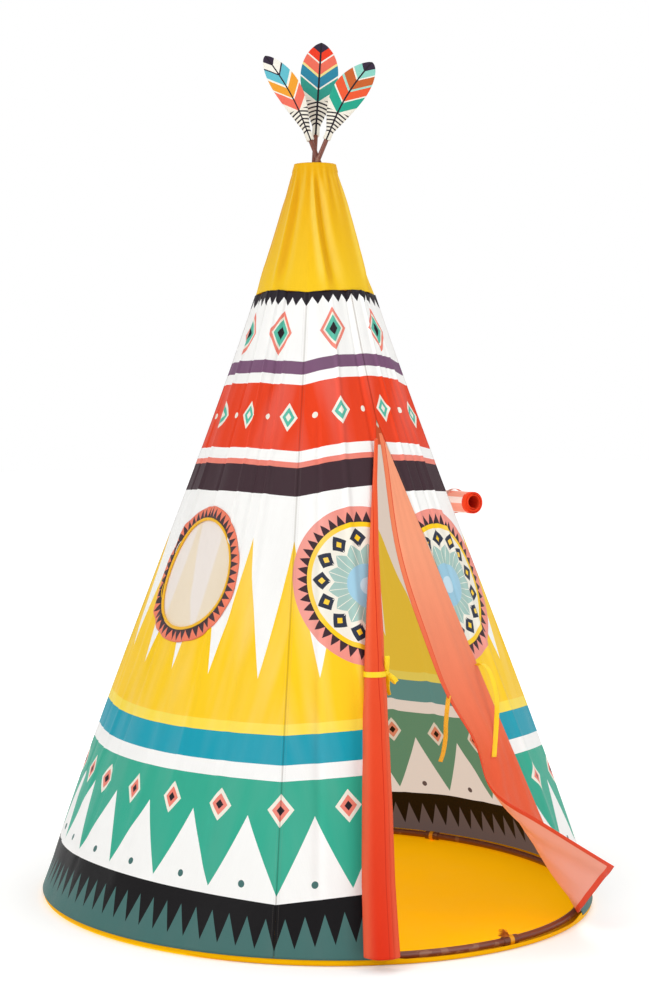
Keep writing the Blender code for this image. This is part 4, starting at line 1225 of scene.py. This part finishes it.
def hoop():
    """Rods, their sleeves and the ribbons tied round two of them."""
    for i, start in enumerate(HOOP_JOINTS):
        end = HOOP_JOINTS[(i + 1) % 3] + (2 * pi if i == 2 else 0)
        path = hoop_path(start + ROD_END_ANGLE, end - ROD_END_ANGLE, 110)
        piece = tube(f"rod_{i + 1}", path, HOOP_RADIUS, ROD)
        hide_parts(f"hoop_rod_{i + 1}")
        half = HOOP_SLEEVE_LENGTH / 2 / MEAN_RADIUS
        path = hoop_path(start - half, start + half, 14)
        piece = tube(f"rod_sleeve_{i + 1}", path, HOOP_SLEEVE_RADIUS, ROD_SLEEVE, sides=28, ends=0.12)
        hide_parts(f"hoop_sleeve_{i + 1}")
        for where in HOOP_TIES[i : i + 1]:
            half = HOOP_TIE_WIDTH / 2 / MEAN_RADIUS
            path = hoop_path(start - half, start + half, 7)
            piece = tube(f"tie_{where}", path, HOOP_TIE_RADIUS, RIBBON_ORANGE, sides=28, ends=0.08)
            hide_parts(f"hoop_tie_{where}")


def pole_line(name, height):
    """Points on a pole's centre line: straight from its foot to the crossing, bowed by a parabola."""
    angle, aside, short, bow, _ = POLES[name]
    height = np.asarray(height, float)
    share = height / POLE_CROSSING
    radial = mix(POLE_FOOT, short, share) + 4 * bow * share * (1 - share)
    return around(radial, angle, height) + np.array([cos(angle), sin(angle), 0]) * aside * share[..., None]


def poles():
    """Each pole's two halves."""
    below, above = POLE_JOINT_HEIGHTS
    for name, (*_, foot) in POLES.items():
        top = RIM_HEIGHT if foot is None else foot + POLE_IN_POCKET
        for half, low, high in (("lower", POLE_FOOT_HEIGHT, below), ("upper", above, top)):
            path = pole_line(name, np.linspace(low, high, 60))
            piece = tube(f"{half}_pole_{name}", path, POLE_RADIUS, ROD)
            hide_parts(f"pole_{half}_{name}")


# The frayed end of the front hoop tie

TUFT_THREADS = 46
# Steps that spread the threads' places, lifts and lengths evenly, with no random draw
SPREAD_STEP, LIFT_STEP, LENGTH_STEP = 0.6180, 0.7548, 0.5698


def tuft():
    """Thin threads that fan out along the hoop and droop, by a sine."""
    start = HOOP_JOINTS[0]
    before, centre, after = hoop_path(start - 0.01, start + 0.01, 3)
    axis = unit(after - before)
    across = np.cross(axis, UP)
    steps, sides = 8, 5
    thread = np.arange(TUFT_THREADS)[:, None]
    spread = np.modf(thread * SPREAD_STEP)[0] * 2 - 1
    lift = np.modf(thread * LIFT_STEP)[0]
    length = 0.014 + 0.008 * np.modf(thread * LENGTH_STEP)[0]
    t = np.linspace(0, 1, steps)
    root = centre + UP * (0.0078 + 0.0010 * lift) + across * (spread * 0.0030) - axis * 0.0035
    path = root[:, None] - axis * (length * t * (1.05 - 0.40 * lift))[..., None]
    path = path + across * (spread * 0.006 * t**1.5)[..., None]
    path = path + UP * (length * (0.08 + 0.62 * lift) * np.sin(t * 1.5))[..., None]
    turn = turns_round(sides)
    thick = (0.00075 * (1 - 0.5 * t))[None, :, None, None]
    ring = across * np.cos(turn)[:, None] + UP * np.sin(turn)[:, None]
    rows = TUFT_THREADS * steps
    points = (path[:, :, None] + ring * thick).reshape(rows, sides, 3)
    kept = np.ones((rows - 1, sides), bool)
    kept[steps - 1 :: steps] = False
    uv = pair(np.linspace(0, 0.003, sides + 1)[None], np.tile(t, TUFT_THREADS)[:, None] * 0.02)
    finish = ribbon_cloth("frayed thread", "D9781A")
    piece = surface("tuft", points[:, ::-1], finish, maps={"cloth": uv}, closed=True, kept=kept)
    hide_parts("hoop_tie_tuft")


# Windows

WINDOW_COLUMNS = 144


def ring_points(window, radii, lifts):
    """Rings on the cover round a window's centre, lifted off it."""
    up = cover_frame(np.array(window), np.array(WINDOW_HEIGHT))[1]
    turn = turns_round(WINDOW_COLUMNS)
    reach = np.array(radii)[:, None]
    height = WINDOW_HEIGHT + reach * np.sin(turn) * up[2]
    angle = window + np.arctan2(reach * np.cos(turn), cover_radius(window, WINDOW_HEIGHT))
    push = cover_folds(angle, height) * (reach > WINDOW_RADIUS + 0.004)
    push = push + np.array(lifts)[:, None]
    return cover_point(angle, height) + cover_frame(angle, height)[2] * push[..., None]


def window_ring(side, window, finish):
    """The toothed ring: arched across its width, puckered at its loose outer edge, with one tuck."""
    share = np.linspace(0, 1, 9)
    radii = WINDOW_RADIUS + RING_WIDTH * (1 - share)
    lifts = 0.0006 + 0.0014 * np.sin(pi * np.clip(share * 1.1, 0, 1)) ** 0.5
    points = ring_points(window, radii, lifts)
    turn = turns_round(WINDOW_COLUMNS, 1) / (2 * pi)
    share = share[:, None]
    spin = turn[:-1] * 2 * pi
    pucker = 0.0008 * np.sin(17 * spin + 1) * (1 - share) * np.sin(3 * spin)
    pucker += 0.0050 * bump(turn[:-1], 0.66, 0.016) * (0.3 + 0.7 * share)
    points = points + unit(points * [1, 1, 0]) * pucker[..., None]
    maps = {"print": pair(turn[None], share), "cloth": pair(turn[None] * 0.7, share * RING_WIDTH)}
    piece = surface(f"ring_{side}", points, finish, maps=maps, closed=True, thickness=0.0008, offset=1)
    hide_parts(f"window_binding_{side}")


def window_binding(side, window):
    """The rolled yellow binding at the opening: an oval section carried round the hole."""
    section = turns_round(14, 1)
    radii = WINDOW_RADIUS + 0.0005 - 0.003 * np.cos(section)
    lifts = 0.0012 + 0.0026 * np.sin(section)
    turn = turns_round(WINDOW_COLUMNS, 1) / (2 * pi)
    metre = pair(turn[None] * 0.65, np.linspace(0, 0.02, len(section))[:, None])
    loops = ring_points(window, radii, lifts)
    surface(f"binding_{side}", loops, BINDING_YELLOW, maps={"cloth": metre}, closed=True)


def window_screen(side, window, finish):
    """The see-through screen: rings that sag inwards, by a cosine, towards its middle."""
    radii = np.linspace(WINDOW_RADIUS + 0.012, 0.002, 26)
    sag = -0.0016 - 0.004 * np.cos(np.clip(radii / 0.1, 0, 1) * pi / 2)
    turn = turns_round(WINDOW_COLUMNS, 1)
    metre = pair(radii[:, None] * np.cos(turn), radii[:, None] * np.sin(turn))
    piece = surface(
        f"net_{side}", ring_points(window, radii, sag), finish, maps={"cloth": metre}, closed=True,
        caps=("last",),
    )
    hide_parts(f"window_screen_{side}")


def windows():
    """Each window: a toothed ring, a yellow binding inside it and a see-through screen."""
    ring_finish = window_ring_finish()
    screen_finish = screen_net_finish()
    for side, window in WINDOW_ANGLES.items():
        window_ring(side, window, ring_finish)
        window_binding(side, window)
        window_screen(side, window, screen_finish)


# The right window's cover, rolled up above it

ROLL_TURNS = 3.4
ROLL_PITCH = 0.0028
ROLL_END_ANGLE = radians(-45)
ROLL_TIES = (("front", -0.085), ("back", 0.085))
ROLL_TIE_HALF_WIDTH = 0.005
ROLL_TIE_LIFT = 0.0008


def roll_frame():
    """The roll's centre, and the directions along and across it."""
    angle, level = np.array(WINDOW_ANGLES["right"]), np.array(ROLL_HEIGHT)
    along, _, out = cover_frame(angle, level)
    centre = cover_point(angle, level) + out * (ROLL_RADIUS + RING_THICKNESS + 2 * TRIM_GAP)
    return centre, along, np.cross(along, [0, 0, 1])


def rolled_cover():
    """A spiral of cloth carried straight along, a little wavy."""
    centre, along, across = roll_frame()
    turns = np.linspace(0, ROLL_TURNS, 170)
    reach = ROLL_RADIUS - GAP - ROLL_PITCH * (ROLL_TURNS - turns)
    spin = 2 * pi * turns + ROLL_END_ANGLE - 2 * pi * ROLL_TURNS
    length = np.linspace(-ROLL_LENGTH / 2, ROLL_LENGTH / 2, 60)
    radial = reach[:, None] + 0.0008 * np.sin(length * 38)[None, :] * np.sin(spin * 1.5)[:, None]
    round_about = UP * np.cos(spin)[:, None, None] + across * np.sin(spin)[:, None, None]
    points = centre + along * length[None, :, None] + round_about * radial[..., None]
    run = np.cumsum(np.append(0, np.hypot(np.diff(reach), reach[1:] * np.diff(spin))))
    uv = pair(length[None, :], run[:, None])
    piece = surface(
        "rolled_cover", points[::-1], [rolled_cover_finish(), FLAP_RED], maps={"cloth": uv[::-1]},
        thickness=0.0012,
    )
    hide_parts("window_cover_roll")


def roll_ties():
    """Two ribbons round the roll."""
    centre, along, across = roll_frame()
    turn = turns_round(64)[:, None]
    wide = np.linspace(-ROLL_TIE_HALF_WIDTH, ROLL_TIE_HALF_WIDTH, 7)[:, None]
    for name, end in ROLL_TIES:
        ring = (UP * np.cos(turn) + across * np.sin(turn)) * (ROLL_RADIUS + ROLL_TIE_LIFT)
        points = (centre + along * end + ring)[None] + along * wide[..., None]
        metre = pair(np.linspace(0, 0.13, 65)[None], wide)
        tie = surface(
            f"cover_tie_{name}", points[:, ::-1], RIBBON_SALMON, maps={"cloth": metre}, closed=True,
            thickness=0.0007, offset=0,
        )
        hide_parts(f"window_cover_tie_{name}")


# The left door flap, rolled up and tied

# Share of the way down from the door's top, with half the roll's width there
ROLL_SHARES = (0, 0.12, 0.26, 0.41, 0.54, 0.73, 1)
ROLL_HALF_WIDTHS = (0.0035, 0.005, 0.010, 0.0172, 0.0226, 0.0278, 0.0325)
# Share of the way down, with how far the roll lies from the door's edge there
SHIFT_SHARES = (0, 0.12, 0.26, 0.41, 0.54, 0.73, 0.85, 1)
ROLL_SHIFTS = (-0.004, -0.0082, -0.0105, -0.0104, -0.0087, -0.0045, -0.0025, 0.004)
TIE_HEIGHT = 0.460
TIE_HALF_WIDTH = 0.0045
TIE_LIFT = 0.0012
FLAP_TURNS = 2.25
FLAP_FLATNESS = 0.72


def share_down(height):
    """The share of the way down from the door's top to the ground."""
    return (DOOR_TOP_HEIGHT - height) / DOOR_TOP_HEIGHT


def left_roll_radius(height):
    """Half of the rolled flap's width: it grows downwards and is drawn in at its tie."""
    radius = np.interp(share_down(height), ROLL_SHARES, ROLL_HALF_WIDTHS)
    return radius * (1 - 0.05 * bump(height, TIE_HEIGHT, 0.03))


def left_roll_frame(height):
    """The rolled flap's centre, and the directions along and off the cover."""
    shift = np.interp(share_down(height), SHIFT_SHARES, ROLL_SHIFTS)
    angle = -angle_at_width(door_half_width(height), height)
    angle = angle + shift / cover_radius(angle, height)
    off = unit(cover_frame(angle, height)[2] * [1, 1, 0])
    along = np.stack([-off[..., 1], off[..., 0], 0 * off[..., 0]], -1)
    reach = left_roll_radius(height) * FLAP_FLATNESS + 0.0016
    return cover_point(angle, height) + off * reach[..., None], along, off


def left_flap():
    """The rolled flap: a spiral section with soft flutes, wider downwards, in one sheet."""
    rows, columns = 190, 150
    height = np.linspace(0.022, DOOR_TOP_HEIGHT - 0.03, rows)
    centre, along, off = left_roll_frame(height)
    wide = left_roll_radius(height)[:, None]
    height = height[:, None]
    turns = np.linspace(0, FLAP_TURNS, columns)[None, :]
    spin = 2.6 - 2 * pi * turns
    layer = 1.02 - 0.07 * (FLAP_TURNS - turns)
    phase = radians(350) * share_down(height)
    flutes = 1 - 0.06 * (1 + np.cos(5 * spin + phase)) / 2 * smooth_step(0, 1, turns)
    ripple = 1 + 0.03 * np.sin(height * 60 + 3 * spin) * bump(height, TIE_HEIGHT, 0.12)
    size = wide * layer * flutes * ripple
    points = centre[:, None] + along[:, None] * (size * np.cos(spin))[..., None]
    points = points + off[:, None] * (size * FLAP_FLATNESS * np.sin(spin))[..., None]
    steps = np.linalg.norm(np.diff(points, axis=1), axis=2)
    run = np.concatenate([np.zeros((rows, 1)), np.cumsum(steps, axis=1)], 1)
    lit = bump(np.cos(spin), -0.92, 0.28) + 0.9 * bump(np.cos(spin), 0.80, 0.35) + 0 * height
    piece = surface(
        "rolled_flap", points, [rolled_flap_finish(), FLAP_PINK], maps={"cloth": pair(run, height)},
        values={"edge": np.minimum(run, run[:, -1:] - run), "lit": lit}, thickness=0.0011,
    )
    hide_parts("door_flap_left_roll")


def left_flap_tie():
    """The ribbon round the rolled flap."""
    turn = turns_round(64)
    level = np.linspace(TIE_HEIGHT - TIE_HALF_WIDTH, TIE_HEIGHT + TIE_HALF_WIDTH, 7)
    centre, along, off = left_roll_frame(level)
    wide = left_roll_radius(level)[:, None]
    points = centre[:, None] + along[:, None] * ((wide + TIE_LIFT) * np.cos(turn))[..., None]
    points = points + off[:, None] * ((wide * FLAP_FLATNESS + TIE_LIFT) * np.sin(turn))[..., None]
    metre = pair(np.linspace(0, 0.11, 65)[None], level[:, None])
    tie = surface(
        "flap_tie", points, RIBBON_YELLOW, maps={"cloth": metre}, closed=True, thickness=0.0009, offset=1,
    )
    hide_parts("door_flap_left_tie")


LOOP_HALF_WIDTH = 0.0042
TAIL_HALF_WIDTH = 0.0036
BOW_FLATNESS = 0.14


def bow():
    """The bow beside the rolled flap: a loop that stands up, one that hangs out, and two tails.

    A loop leaves the knot along a direction, by a sine, and opens a little across it.
    """
    level = np.array([TIE_HEIGHT])
    centre, along, _ = (part[0] for part in left_roll_frame(level))
    aside, front = around(1, FACING + pi / 2, 0), around(1, FACING, 0)
    knot = centre + along * (left_roll_radius(level)[0] + 0.0022)
    t = np.linspace(0, 1, 30)[:, None]
    for name, far, wide in (
        ("up", UP * 0.030 + aside * 0.001 + front * 0.004, aside * 0.0007 + front * 0.0018),
        ("out", UP * -0.0150 + aside * 0.0170 + front * 0.003, UP * 0.0014 + aside * 0.0012 + front * 0.0015),
    ):
        path = knot + far * np.sin(pi * t) + wide * np.sin(2 * pi * t)
        side = np.cross(front, unit(far)) + 0 * path
        tube(
            f"bow_loop_{name}", path, LOOP_HALF_WIDTH, RIBBON_YELLOW, sides=14, ends=0.2, side=side,
            flat=BOW_FLATNESS,
        )
    for name, far in (("front", UP * -0.038 + aside * 0.0055), ("back", UP * -0.026 + aside * 0.0025)):
        wave = front * (0.0012 + 0.0014 * np.sin(2.2 * pi * t)) + aside * 0.0012 * np.sin(2 * pi * t)
        path = knot + far * t + wave
        side = front * 0.6 + aside + 0 * path
        tube(
            f"bow_tail_{name}", path, TAIL_HALF_WIDTH, RIBBON_YELLOW, sides=14, ends=0.2, side=side,
            flat=BOW_FLATNESS,
        )
    path = knot + (aside * 0.7 - UP * 0.7) * np.linspace(-0.0045, 0.0045, 12)[:, None] + front * 0.0015
    piece = tube("bow_knot", path, 0.0040, RIBBON_YELLOW, ends=0.4, side=UP + 0 * path, flat=0.72)
    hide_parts("door_flap_left_bow")


# The right door flap, its lower corner turned out

FLAP_FOOT = HEM_HEIGHT + 0.004
FLAP_TOP = DOOR_TOP_HEIGHT - 0.02
FLAP_INSET = 0.0001
FOLD_TOP_HEIGHT = 0.40
CORNER_TURN = radians(88)
CORNER_BEND = 0.12


def flap_edge_angle(height):
    """The angle of the right flap's sewn edge, just inside the door's edge."""
    return angle_at_width(door_half_width(height) - FLAP_INSET, height)


def turn_corner(points, foot, fold, beyond, out):
    """The flap's lower corner bent outwards about its fold line: an arc, then straight on."""
    offset = points - foot
    past = offset @ beyond
    rate = CORNER_TURN / CORNER_BEND
    bent = np.clip(past, 0, CORNER_BEND)
    turn = rate * bent
    flat = np.maximum(past, 0) - bent
    off = offset @ out
    forward = np.sin(turn) / rate + flat * np.cos(turn) - off * np.sin(turn)
    outward = (1 - np.cos(turn)) / rate + flat * np.sin(turn) + off * np.cos(turn)
    moved = foot + fold * (offset @ fold)[..., None] + beyond * forward[..., None] + out * outward[..., None]
    return np.where((past > 0)[..., None], moved, points)


def flap_fold():
    """The foot of the corner's fold, and the directions up the fold, beyond it and out of the flap."""
    foot = cover_point(flap_edge_angle(np.array(FLAP_FOOT)), np.array(FLAP_FOOT))
    fold = unit(cover_point(np.array(0.0), np.array(FOLD_TOP_HEIGHT)) - foot)
    beyond = cover_point(np.array(0.0), np.array(FLAP_FOOT)) - foot
    beyond = unit(beyond - fold * (beyond @ fold))
    out = np.cross(beyond, fold)
    return foot, fold, beyond, -out if out[1] > 0 else out


def right_flap():
    """The right flap: it hangs in the door's plane with soft folds, its corner turned out.

    Its free edge laps past the door's middle high up and stays short of it low down.
    """
    rows, columns = 190, 90
    level = np.linspace(0, 1, rows)[:, None]
    share = np.linspace(0, 1, columns)[None, :]
    height = mix(FLAP_FOOT, FLAP_TOP, level) + 0 * share
    lap = 0.021 * smooth_step(0.41, 0.65, height) * smooth_step(0, 0.24, DOOR_TOP_HEIGHT - height)
    lap = lap - 0.05 * bump(height, 0.31, 0.08)
    angle = mix(-angle_at_width(lap, height), flap_edge_angle(height), share)
    phase = 2 * pi * (1.75 * (1 - share) + 1.1 * level)
    wide = door_half_width(height) / DOOR_HALF_WIDTH
    ripple = 0.006 * np.sin(phase) * (1 - share) * wide
    ripple = ripple + 0.0012 * np.sin(2.3 * phase + 1) * wide * smooth_step(0, 0.15, 1 - share)
    points = cover_point(angle, height) + cover_frame(angle, height)[2] * ripple[..., None]
    points = turn_corner(points, *flap_fold())
    metre = (angle - angle[:, :1]) * cover_radius(angle, height)
    edge = np.minimum(metre, height - FLAP_FOOT)
    piece = surface(
        "hung_flap", points, [hung_flap_finish(), hung_flap_reverse()], "door_flap",
        {"cloth": pair(metre, height)}, {"edge": edge}, thickness=0.0012,
    )
    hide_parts("door_flap_right")


# Feathers


def feather(name, length, broad, bend):
    """One feather: lens-shaped sections carried up its spine, widest half-way."""
    foot_height = POLES[name][-1]
    middle = foot_height + FEATHER_POCKET / 2
    axis = unit(pole_line(name, middle + 0.001) - pole_line(name, middle - 0.001))
    wide = unit(np.cross(around(1, FACING, 0), axis))
    thick = np.cross(axis, wide)
    lean = unit(axis * [1, 1, 0])
    share = 1 - (1 - np.linspace(0, 1, 110)) ** 1.5
    pocket = FEATHER_POCKET / length
    past = np.maximum(0, share - pocket) / (1 - pocket)
    quill = FEATHER_POCKET_RADIUS * FEATHER_FOOT_SHARE
    half_wide = broad * np.sin(pi * np.minimum(share**1.609, 0.999)) ** 0.6
    half_wide = np.where(share < 0.65, np.maximum(half_wide, quill), half_wide)
    half_thick = mix(quill, 0.0015, np.minimum(1, past * 2))
    spine = pole_line(name, foot_height) + axis * (length * share)[:, None]
    spine = spine + lean * (bend * past**2)[:, None]
    sides = 48
    turn = turns_round(sides)
    points = spine[:, None] + wide * (half_wide[:, None] * np.cos(turn))[..., None]
    points = points + thick * (half_thick[:, None] * np.sin(turn))[..., None]
    place = pair(np.cos(turns_round(sides, 1))[None] * (half_wide / broad)[:, None], share[:, None])
    piece = surface(
        f"printed_feather_{name}", points, feather_finish(name), f"feather_{name}",
        {"print": place, "cloth": place * [broad, length]}, closed=True, caps=("first", "last"),
    )
    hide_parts(f"feather_{name}")


def feathers():
    """The three feathers on the pole tops."""
    for name, (length, broad, bend) in FEATHERS.items():
        feather(name, length, broad, bend)


def carried_pieces():
    """Webbing and steel finishes on the small solids that keep their own shape."""
    webbing, steel = webbing_finish(), steel_finish()
    for name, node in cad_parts.items():
        if name.startswith(("pole_pocket", "apex_band")):
            node.data.materials[0] = webbing.material
        if name.startswith("pole_sleeve"):
            node.data.materials[0] = steel.material


stand_camera()
door_ribbons()
stage()
cover()
crown()
floor_cloth()
hoop()
poles()
windows()
rolled_cover()
roll_ties()
left_flap()
left_flap_tie()
bow()
tuft()
carried_pieces()
right_flap()
feathers()
